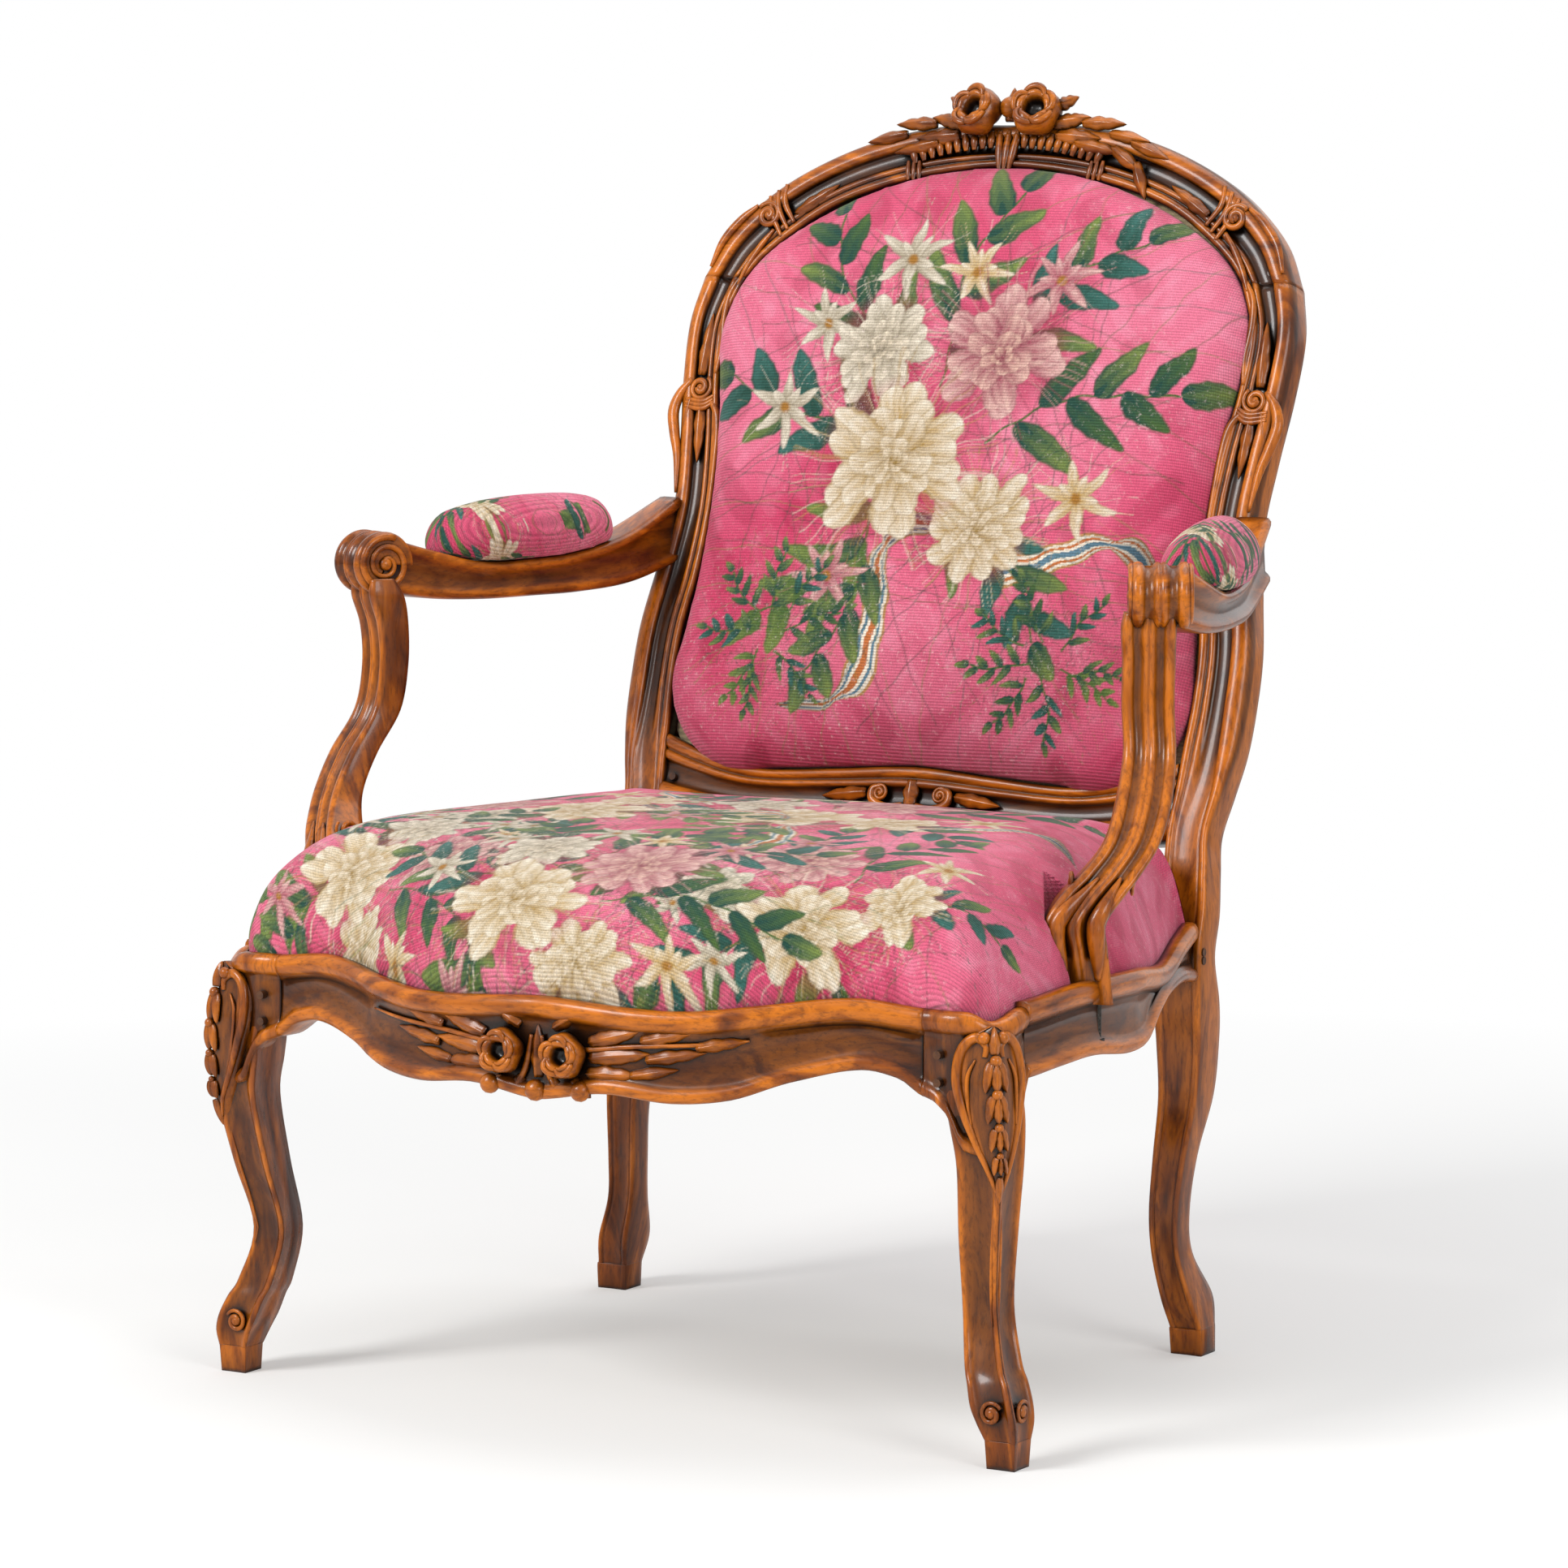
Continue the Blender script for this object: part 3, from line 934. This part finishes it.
def paintCloth(u, v, motifs, deepBelow=-999.0):
    # tone-on-tone scrolls first, then the motifs in order
    a = np.abs(u)
    swirl = np.sin(a / 15 + 1.9 * np.sin(v / 25 + 0.6)) * np.sin(v / 19 + 1.7 * np.sin(a / 22))
    veins = np.sin(a / 6.5 + 2.4 * np.sin(v / 15)) * np.sin(v / 8 + 1.2 * np.sin(a / 11))
    cloud = 0.5 + 0.25 * np.sin(u / 61 + 1.4 * np.sin(v / 83)) + 0.25 * np.sin(v / 47 + 1.1 * np.sin(u / 39))
    tone = 0.2 * soft(0.3, 0.4, swirl) - 0.12 * soft(0.72, 0.25, swirl) + 0.2 * soft(0.5, 0.35,
                                                                                     veins) + 0.6 * cloud
    tone = np.clip(tone, 0, 1)[:, None]
    colour = dye["ground"] * (1 - tone) + dye["groundLight"] * tone
    shadow = 0.28 * soft(0.5, 0.3, -swirl) + 0.3 * soft(0.2, 0.6, 0.4 - cloud) + 0.5 * soft(0, 160,
                                                                                            deepBelow - v)
    shadow = np.clip(shadow, 0, 0.85)[:, None]
    colour = colour * (1 - shadow) + dye["groundDark"] * shadow
    u, v = (u + 2.2 * np.sin(v / 17 + 1.3) + 1.0 * np.sin(v / 5.1 + u / 9),
            v + 2.2 * np.sin(u / 19) + 1.0 * np.sin(u / 6.3 + v / 11))
    for kind, x, y, size, spin, first, second in motifs:
        near = np.hypot(u - x, v - y) < size * 1.5
        if not near.any():
            continue
        du, dv = u[near] - x, v[near] - y
        c, s = math.cos(spin), math.sin(spin)
        p, q = du * c + dv * s, -du * s + dv * c
        tip, base = dye[first], dye[second]
        if kind == "bloom":
            # many overlapping petals, the outer ones first
            lay(colour, near, 0.4 * soft(0, 0.25, 1.02 - np.hypot(du, dv) / size), dye["groundDark"])
            for k, (count, away, length, width) in enumerate(bloomRings):
                for i in range(count):
                    angle = spin + 2 * math.pi * i / count + 0.5 * k + 0.22 * math.sin(3.1 * i + size)
                    root = (size * away * math.cos(angle), size * away * math.sin(angle))
                    reach = size * length * (1 + 0.14 * math.sin(2.3 * i + 1.7 * k + x))
                    warm = 0.25 * k / 4
                    petalOn(colour, near, du, dv, root, angle, reach, size * width * 1.15,
                            tip * (1 - warm) + dye["yellow"] * warm, base * (0.8 - 0.06 * k))
        elif kind == "star":
            for k, (count, length) in enumerate(((6, 1.0), (5, 0.6))):
                for i in range(count):
                    angle = spin + 2 * math.pi * i / count + 0.5 * k
                    petalOn(colour, near, du, dv, (0, 0), angle, size * length * (1 + 0.12 * math.sin(4 * i)),
                            size * 0.2, tip, base * 0.85, 0.55)
            lay(colour, near, soft(0, 0.08, 0.13 - np.hypot(du, dv) / size), dye["heart"])
        elif kind == "sprig":
            # a bent stem with leaves on both sides
            t = np.clip(p / size, 0, 1)
            w = q - 0.14 * size * np.sin(2.6 * t)
            lay(colour, near, soft(0, 0.8, 1.0 - np.abs(w)) * (p > 0) * (p < size), dye["moss"])
            for i in range(7):
                share = 0.16 + 0.14 * i
                side = 1 if i % 2 else -1
                angle = spin + (0.75 * side if i < 6 else 0.1)
                px, py = share * size, 0.14 * size * math.sin(2.6 * share)
                root = (px * c - py * s, px * s + py * c)
                petalOn(colour, near, du, dv, root, angle, size * (0.42 - 0.03 * i), size * 0.09,
                        tip if i % 3 else dye["leafLight"], base, 0.5)
        else:
            # a turning ribbon, striped along its length
            t = np.clip(p / size, -1, 1)
            w = q - 0.3 * size * np.sin(3.4 * t)
            half = 0.15 * size * (1 - t ** 4) * np.clip(np.abs(np.cos(3.1 * t + 0.4)) + 0.25, 0, 1)
            inside = soft(0, 1.0, half - np.abs(w)) * (np.abs(p) < size)
            band = np.clip(np.abs(w) / np.maximum(half, 0.1), 0, 1)[:, None]
            paint = np.where(band < 0.82, dye["cream"] * 0.9, dye["tan"])
            for edge, stripe in ((0.62, base), (0.42, dye["cream"]), (0.22, tip)):
                paint = np.where(band < edge, stripe, paint)
            turned = np.clip(0.72 + 0.38 * np.cos(3.1 * t + 0.4), 0.35, 1.1)[:, None]
            lay(colour, near, inside, np.clip(paint * turned, 0, 1))
    return np.clip(colour, 0, 1)


def spray(x, y, turnBy, scale, group):
    # a loose bunch, placed, turned and sized as one
    made = []
    c, s = math.cos(turnBy), math.sin(turnBy)
    for kind, dx, dy, size, spin, first, second in group:
        place = (x + scale * (dx * c - dy * s), y + scale * (dx * s + dy * c))
        made.append((kind, *place, size * scale, spin + turnBy, first, second))
    return made


bunch = [
    ("ribbon", -62, -92, 84, 0.5, "orange", "blue"), ("ribbon", 66, -98, 76, -0.7, "blue", "orange"),
    ("sprig", -20, 20, 128, 2.5, "teal", "leafDark"), ("sprig", 10, 30, 132, 0.9, "leafLight", "leafDark"),
    ("sprig", 30, -10, 130, -0.2, "moss", "leafDark"), ("sprig", -30, -20, 118, 3.5, "leafLight", "moss"),
    ("sprig", 0, -40, 112, -1.3, "teal", "leafDark"), ("sprig", -10, 50, 120, 1.75, "moss", "leafDark"),
    ("sprig", -50, -30, 105, -2.3, "leafLight", "leafDark"), ("sprig", 50, 30, 118, 0.35, "teal", "leafDark"),
    ("star", -96, 52, 26, 0.2, "cream", "stone"), ("star", 100, 70, 25, 1.0, "pale", "rose"),
    ("star", 82, -66, 27, 0.5, "cream", "yellow"), ("star", -88, -58, 25, 0.8, "pale", "rose"),
    ("star", 6, 118, 27, 0.1, "cream", "stone"), ("star", 48, 96, 23, 0.7, "cream", "yellow"),
    ("star", -60, 98, 24, 0.4, "cream", "stone"), ("bloom", 52, 40, 40, 0.9, "pale", "rose"),
    ("bloom", 18, -62, 34, 0.0, "cream", "yellow"), ("bloom", -26, 70, 32, 0.6, "cream", "stone"),
    ("bloom", -32, -4, 48, 0.3, "cream", "yellow")]
backMotifs = (spray(-6, 292, 0.35, 1.3, bunch) + spray(120, 120, 2.2, 0.4, bunch[2:10])
              + spray(-130, 130, 0.5, 0.4, bunch[2:10]))
seatMotifs = (spray(60, -40, 0.8, 1.15, bunch) + spray(-140, -90, 2.4, 1.0, bunch)
              + spray(-190, -300, -0.5, 1.0, bunch[2:]) + spray(190, -290, 1.5, 0.95, bunch[2:])
              + spray(0, -345, 0.2, 1.1, bunch[2:]))
padMotifs = (spray(-34, 3, 0.5, 0.34, bunch[2:6] + bunch[-1:])
             + spray(52, -4, 2.0, 0.34, bunch[4:8] + bunch[-3:-2])
             + spray(4, -12, 1.0, 0.3, bunch[6:9] + bunch[10:12]))


def dress(piece, u, v, motifs, deepBelow=-999.0):
    # colour and lay of the cloth kept on the mesh
    mesh = piece.data
    colour = paintCloth(u, v, motifs, deepBelow)
    layer = mesh.color_attributes.new("dye", "FLOAT_COLOR", "POINT")
    layer.data.foreach_set("color", np.column_stack([colour,
                                                     np.ones(len(colour))]).astype(np.float32).ravel())
    laid = mesh.attributes.new("laid", "FLOAT_VECTOR", "POINT")
    laid.data.foreach_set("vector", (np.column_stack([u, v,
                                                      np.zeros(len(u))]) * mm).astype(np.float32).ravel())


def getPoints(mesh):
    flat = np.empty(len(mesh.vertices) * 3)
    mesh.vertices.foreach_get("co", flat)
    return flat.reshape(-1, 3) / mm


def setPoints(mesh, points):
    mesh.vertices.foreach_set("co", (points * mm).ravel())
    mesh.update()


def applyModifiers(piece):
    graph = bpy.context.evaluated_depsgraph_get()
    made = bpy.data.meshes.new_from_object(piece.evaluated_get(graph))
    piece.modifiers.clear()
    old = piece.data
    piece.data = made
    bpy.data.meshes.remove(old)


def inflate(piece, settings, hold):
    # even out the mesh, swell it as stuffed cloth, cap how far it moves
    remesh = piece.modifiers.new("even", "REMESH")
    remesh.mode = "VOXEL"
    remesh.voxel_size = settings["voxel"] * mm
    applyModifiers(piece)
    before = getPoints(piece.data)
    cloth = piece.modifiers.new("swell", "CLOTH")
    cloth.settings.use_pressure = True
    cloth.settings.uniform_pressure_force = settings["pressure"]
    cloth.settings.effector_weights.gravity = 0
    cloth.settings.quality = 4
    cloth.settings.tension_stiffness = 20
    cloth.point_cache.frame_start = 1
    cloth.point_cache.frame_end = 20
    for number in range(1, 21):
        bpy.context.scene.frame_set(number)
    applyModifiers(piece)
    after = getPoints(piece.data)
    move = after - before
    far = np.linalg.norm(move, axis=1, keepdims=True)
    move *= np.minimum(1, settings["cap"] / np.maximum(far, 1e-6))
    setPoints(piece.data, before + move * hold(before)[:, None])
    bpy.context.scene.frame_set(1)
    for k in range(settings["subdivide"]):
        finer = piece.modifiers.new("finer", "SUBSURF")
        finer.levels = finer.render_levels = 1
        applyModifiers(piece)
    piece.data.polygons.foreach_set("use_smooth", [True] * len(piece.data.polygons))


def closedRings(rings, middleFirst, middleLast):
    # rings closed at both ends by a point
    rings = np.array(rings)
    count, size = rings.shape[:2]
    points = np.concatenate([rings.reshape(-1, 3), [middleFirst], [middleLast]])
    faces = ringFaces(count, size, False)
    a, b = count * size, count * size + 1
    for j in range(size):
        k = (j + 1) % size
        faces.append((a, k, j))
        faces.append((b, (count - 1) * size + j, (count - 1) * size + k))
    return points, faces


# seat cushion
seat = {"voxel": 6.0, "pressure": 4.0, "cap": 4.0, "subdivide": 2}
seatMiddle, seatWide, seatDeep = -89.5, 334, 269.5
outline = np.concatenate([seatRun, [(272, 160), (272, 180), (180, 180), (90, 180), (0, 180)]])
outline = np.concatenate([outline, [(-x, y) for x, y in outline[-2:0:-1]]])


def cutRound(points, room):
    # keep the upholstery clear of the rear posts and the arm supports
    for side in (-1, 1):
        inPost = (side * points[:, 0] > room["postX"]) & (points[:, 1] > room["postY"])
        points[inPost, 1] = room["postY"]
        local = points[:, :2] - np.array((side * 326, -158))
        across = side * local[:, 0] * scrollAxis[0] + local[:, 1] * scrollAxis[1]
        deep = side * local[:, 0] * scrollBack[0] + local[:, 1] * scrollBack[1]
        inside = (across > -room["beside"]) & (deep > -room["ahead"]) & (deep < room["behind"])
        push = np.where(inside, -room["beside"] - across, 0)
        points[:, 0] += side * push * scrollAxis[0]
        points[:, 1] += push * scrollAxis[1]


def seatRing(inset, z, sideInset):
    ring = outline.astype(float).copy()
    ring[:, 0] *= 1 - (inset + sideInset) / seatWide
    ring[:, 1] = seatMiddle + (ring[:, 1] - seatMiddle) * (1 - inset / seatDeep)
    return np.column_stack([ring, np.full(len(ring), z)])


seatRows = smoothRows([(12.8, 309, 0), (12.8, 320, 0), (8.6, 331, 5), (6.8, 347, 11), (12.6, 367.5, 13),
                       (28.6, 386.5, 12), (56, 402.5, 8), (98, 413, 0), (170, 417, 0), (240, 418, 0)], 4)
points, faces = closedRings([seatRing(*row) for row in seatRows], (0, seatMiddle, 309), (0, seatMiddle, 418))
seatCushion = meshPiece("seat_cushion", points, faces, tapestry)
inflate(seatCushion, seat, lambda p: np.clip((p[:, 2] - 326) / 30, 0, 1))
points = getPoints(seatCushion.data)
x, y, z = points.T
# gathers near the front corners and soft pulls toward the rail
reach = np.clip((z - 312) / 25, 0, 1) * np.clip((398 - z) / 40, 0, 1)
aroundFront = np.exp(-((np.abs(x) - 262) / 62) ** 2) * (y < -150)
fold = np.sin(np.arctan2(y + 60, np.abs(x)) * 46 + 0.03 * z) * 1.6 * aroundFront * reach
outwardX, outwardY = x / seatWide, (y - seatMiddle) / seatDeep
size = np.hypot(outwardX, outwardY) + 1e-6
points[:, 0] += fold * outwardX / size
points[:, 1] += fold * outwardY / size
points[:, 2] += 1.1 * np.sin(x / 47 + 0.8) * np.sin(y / 39) * np.clip((z - 380) / 20, 0, 1)
cutRound(points, {"postX": 228, "postY": 143.5, "beside": 22.5, "ahead": 3, "behind": 58})
setPoints(seatCushion.data, points)
x, y, z = points.T
fall = np.clip(412 - z, 0, 120)
u = x * (1 + 0.62 * fall / seatWide * np.abs(x / seatWide))
v = y + fall * np.clip((y - seatMiddle) / seatDeep, -1, 1) * 0.9
dress(seatCushion, u, v, seatMotifs)
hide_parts("seat_cover", "seat_stuffing")
print("stage: seat cushion")

# back cushion
backPad = {"voxel": 5.0, "pressure": 4.0, "cap": 4.0, "subdivide": 2}
backMiddle, backWide, backTall = 281, 238, 488
sightFull = np.concatenate([sightRun, [(-x, v) for x, v in sightRun[-2:0:-1]]])


def backRing(inset, n):
    x = sightFull[:, 0] * (1 - inset / backWide)
    v = backMiddle + (sightFull[:, 1] - backMiddle) * (1 - 2 * inset / backTall)
    return np.array([onBack(a, b, n) for a, b in zip(x, v)])


backRows = smoothRows([(1.0, -13.4), (0.9, -4), (0.9, 0), (2.2, 4.4), (8.5, 11.4), (28, 19.4), (66, 24.4),
                       (110, 26.4), (180, 27)], 4)
points, faces = closedRings([backRing(*row) for row in backRows], onBack(0, backMiddle, -13.4),
                            onBack(0, backMiddle, 27))
backCushion = meshPiece("back_cushion", points, faces, tapestry)
inflate(backCushion, backPad, lambda p: np.clip(((p - onBack(0, 0)) @ faceNormal - 1) / 6, 0, 1))
points = getPoints(backCushion.data)
x = points[:, 0]
v = (points - onBack(0, 0)) @ backUp
dress(backCushion, x, v, backMotifs, 90.0)
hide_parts("back_cover", "back_stuffing")
print("stage: back cushion")

# arm pads
pad = {"voxel": 4.0, "pressure": 4.0, "cap": 2.0, "subdivide": 1}
topRun = armRun[:, :3] + np.outer(armRun[:, 7] / 2, up)
padStations = smoothRows([(0.213, 0.36, 0.36), (0.24, 0.64, 0.64), (0.29, 0.81, 0.81), (0.37, 0.94, 0.94),
                          (0.49, 0.98, 0.98), (0.61, 0.95, 0.94), (0.69, 0.82, 0.82), (0.74, 0.64, 0.66),
                          (0.767, 0.36, 0.38)], 3)
# the pad's section, in shares of half its width and of its height
padSection = smoothRows([
    (-0.84, 0), (-0.99, 0.2), (-1.0, 0.4), (-0.88, 0.63), (-0.62, 0.82), (-0.3, 0.96), (0, 1), (0.3, 0.96),
    (0.62, 0.82), (0.88, 0.63), (1.0, 0.4), (0.99, 0.2), (0.84, 0)], 2)
rings = []
for share, width, height in padStations:
    y = -60 + 309 * share
    centre = np.array([np.interp(y, topRun[:, 1], topRun[:, k]) for k in range(3)])
    ahead = np.array([np.interp(y + 4, topRun[:, 1], topRun[:, k]) for k in range(3)]) - centre
    across = np.array((ahead[1], -ahead[0], 0)) / math.hypot(ahead[0], ahead[1])
    half, tall = 31 * width, 50 * height
    rings.append([centre + across * half * a + up * (tall * b + 0.4) for a, b in padSection])
padPoints, padFaces = closedRings(rings, np.mean(rings[0], axis=0), np.mean(rings[-1], axis=0))
low = padPoints[:, 2].min()
for sideName, side in (("left", 1), ("right", -1)):
    points = padPoints * np.array((side, 1, 1))
    faces = padFaces if side > 0 else [tuple(reversed(face)) for face in padFaces]
    piece = meshPiece("arm_pad_" + sideName, points, faces, tapestry)
    inflate(piece, pad, lambda p: np.clip((p[:, 2] - low - 8) / 10, 0, 1))
    finer = piece.modifiers.new("finer", "SUBSURF")
    finer.levels = finer.render_levels = 1
    applyModifiers(piece)
    points = getPoints(piece.data)
    x, y, z = points.T
    aside = side * x - np.interp(y, topRun[:, 1], topRun[:, 0])
    dress(piece, y - 90, aside + (z - 640) * 0.5 * np.sign(aside), padMotifs)
    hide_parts("arm_pad_cover_" + sideName, "arm_pad_stuffing_" + sideName)
print("stage: arm pads")

# outside back, webbing, base cloths, fittings
outX = sightFull[:, 0] * (1 + 8.0 / backWide)
outV = backMiddle + (sightFull[:, 1] - backMiddle) * (1 + 16.0 / backTall)


def backLayer(share, n):
    # the cloth's outline drawn in to a share of its size
    return [onBack(a * share, backMiddle + (b - backMiddle) * share, n) for a, b in zip(outX, outV)]


def stretched(name, outlines, material):
    # a cloth as two layers from their middles to a common edge
    rings = np.array(outlines)
    return meshPiece(name, rings.reshape(-1, 3), ringFaces(*rings.shape[:2]), material)


layers = []
for share in np.linspace(0.02, 1, 22):
    layers.append(backLayer(share, -28.4 - 1.6 * (1 - share ** 2)))
for share in np.linspace(1, 0.02, 22):
    layers.append(backLayer(share, -26.9))
outsideBack = stretched("outside_back_panel", layers, outsideCloth)
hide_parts("outside_back_cover")
wide, tall = float(np.ptp(outX)) * mm, float(np.ptp(outV)) * mm

for name, material in (("seat_rail_pegs", pegWood), ("back_frame_pegs", pegWood), ("arm_pegs", pegWood),
                       ("arm_support_screws", iron), ("seat_webbing_tacks", iron),
                       ("back_webbing_tacks", iron), ("seat_webbing_lengthwise", juteWeb),
                       ("seat_webbing_crosswise", juteWeb), ("back_webbing_across", juteWeb),
                       ("back_webbing_upward", juteWeb), ("rear_rail", walnutAcross)):
    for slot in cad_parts[name].material_slots:
        slot.material = material

baseIn = 12.6
shareX, shareY = 1 - baseIn / seatWide, 1 - baseIn / seatDeep
baseRings = []
for inset in np.linspace(1, 0, 18):
    scaleX, scaleY = shareX * (1 - inset * 0.97), shareY * (1 - inset * 0.97)
    baseRings.append([(a * scaleX, seatMiddle + (b - seatMiddle) * scaleY, 308.0) for a, b in outline])
baseRings += [[(a, b, z - 0.7) for a, b, z in ring] for ring in baseRings[::-1]]
rings = np.array(baseRings)
cutRound(rings.reshape(-1, 3), {"postX": 227, "postY": 142, "beside": 23, "ahead": 3.4, "behind": 59})
seatBase = stretched("seat_base_linen", rings, baseLinen)
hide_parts("seat_base_cloth")

layers = []
for n, shares in ((-15.3, np.linspace(0.02, 0.995, 16)), (-14.6, np.linspace(0.995, 0.02, 16))):
    layers += [backLayer(share, n) for share in shares]
backBase = stretched("back_base_linen", layers, baseLinen)
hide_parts("back_base_cloth")
print("stage: cloths and fittings")

# floor, light, camera
floorMaterial, tree, output = newMaterial("pale_floor")
floorShader = addNode(tree, "BsdfDiffuse", {"Color": fromHex("#F2F2F0")})
ray = addNode(tree, "LightPath")
place = addNode(tree, "NewGeometry").outputs["Position"]
spot = addNode(tree, "VectorMath", {"operation": "LENGTH"}, {0: place})
# the floor turns to plain white away from the chair, for the camera only
away = addNode(tree, "MapRange", links={"Value": spot.outputs["Value"]})
setSockets(away, {"From Min": 0.7, "From Max": 1.9, "To Min": 0.3, "To Max": 1.0})
amount = addNode(tree, "Math", {"operation": "MULTIPLY"},
                 {0: ray.outputs["Is Camera Ray"], 1: away.outputs[0]})
glow = addNode(tree, "Emission", {"Color": (1, 1, 1, 1), "Strength": 1.0})
both = addNode(tree, "MixShader", links={0: amount.outputs[0], 1: floorShader.outputs[0], 2: glow.outputs[0]})
tree.links.new(both.outputs[0], output.inputs["Surface"])
floorMesh = bpy.data.meshes.new("floor")
floorMesh.from_pydata([(-60, -60, 0), (60, -60, 0), (60, 60, 0), (-60, 60, 0)], [], [(0, 1, 2, 3)])
floor = bpy.data.objects.new("floor", floorMesh)
bpy.context.scene.collection.objects.link(floor)
floorMesh.materials.append(floorMaterial)

world = bpy.data.worlds.new("studio")
bpy.context.scene.world = world
world.use_nodes = True
tree = world.node_tree
tree.nodes.clear()
output = addNode(tree, "OutputWorld")
ray = addNode(tree, "LightPath")
ambient = addNode(tree, "Background", {"Color": fromHex("#F6F7FA"), "Strength": 0.42})
white = addNode(tree, "Background", {"Color": (1, 1, 1, 1), "Strength": 1.0})
shiny = addNode(tree, "Math", {"operation": "MAXIMUM"}, {0: ray.outputs["Is Glossy Ray"],
                1: ray.outputs["Is Transmission Ray"]})
seen = addNode(tree, "Math", {"operation": "MAXIMUM"}, {0: ray.outputs["Is Camera Ray"], 1: shiny.outputs[0]})
either = addNode(tree, "MixShader", links={0: seen.outputs[0], 1: ambient.outputs[0], 2: white.outputs[0]})
tree.links.new(either.outputs[0], output.inputs["Surface"])

lamps = {
    "key": {"place": (-1.4, -3.2, 2.9), "size": 1.5, "power": 142},
    "fill": {"place": (3.4, -1.6, 2.0), "size": 1.5, "power": 52},
    "top": {"place": (0.3, 0.8, 3.6), "size": 2.4, "power": 45}}
for name, lamp in lamps.items():
    data = bpy.data.lights.new(name, "AREA")
    data.shape = "SQUARE"
    data.size = lamp["size"]
    data.energy = lamp["power"]
    light = bpy.data.objects.new(name, data)
    bpy.context.scene.collection.objects.link(light)
    light.location = lamp["place"]
    light.rotation_euler = (Vector((0, 0, 0.45)) - Vector(lamp["place"])).to_track_quat("-Z", "Y").to_euler()

view = {"azimuth": 0.5376, "elevation": 0.0991, "distance": 4.4358, "target": (0.00253, -0.04713, 0.4745),
        "lens": 136.1, "shift": (0.0132, -0.0273)}
camera = bpy.data.objects.new("camera", bpy.data.cameras.new("camera"))
bpy.context.scene.collection.objects.link(camera)
flat = math.cos(view["elevation"])
toCamera = Vector((math.sin(view["azimuth"]) * flat, -math.cos(view["azimuth"]) * flat,
                   math.sin(view["elevation"])))
camera.location = Vector(view["target"]) + toCamera * view["distance"]
camera.rotation_euler = (-toCamera).to_track_quat("-Z", "Y").to_euler()
camera.data.lens = view["lens"]
camera.data.sensor_width = 36
camera.data.shift_x, camera.data.shift_y = view["shift"]
bpy.context.scene.camera = camera
bpy.context.scene.view_settings.view_transform = "Standard"
print("stage: floor, light, camera")
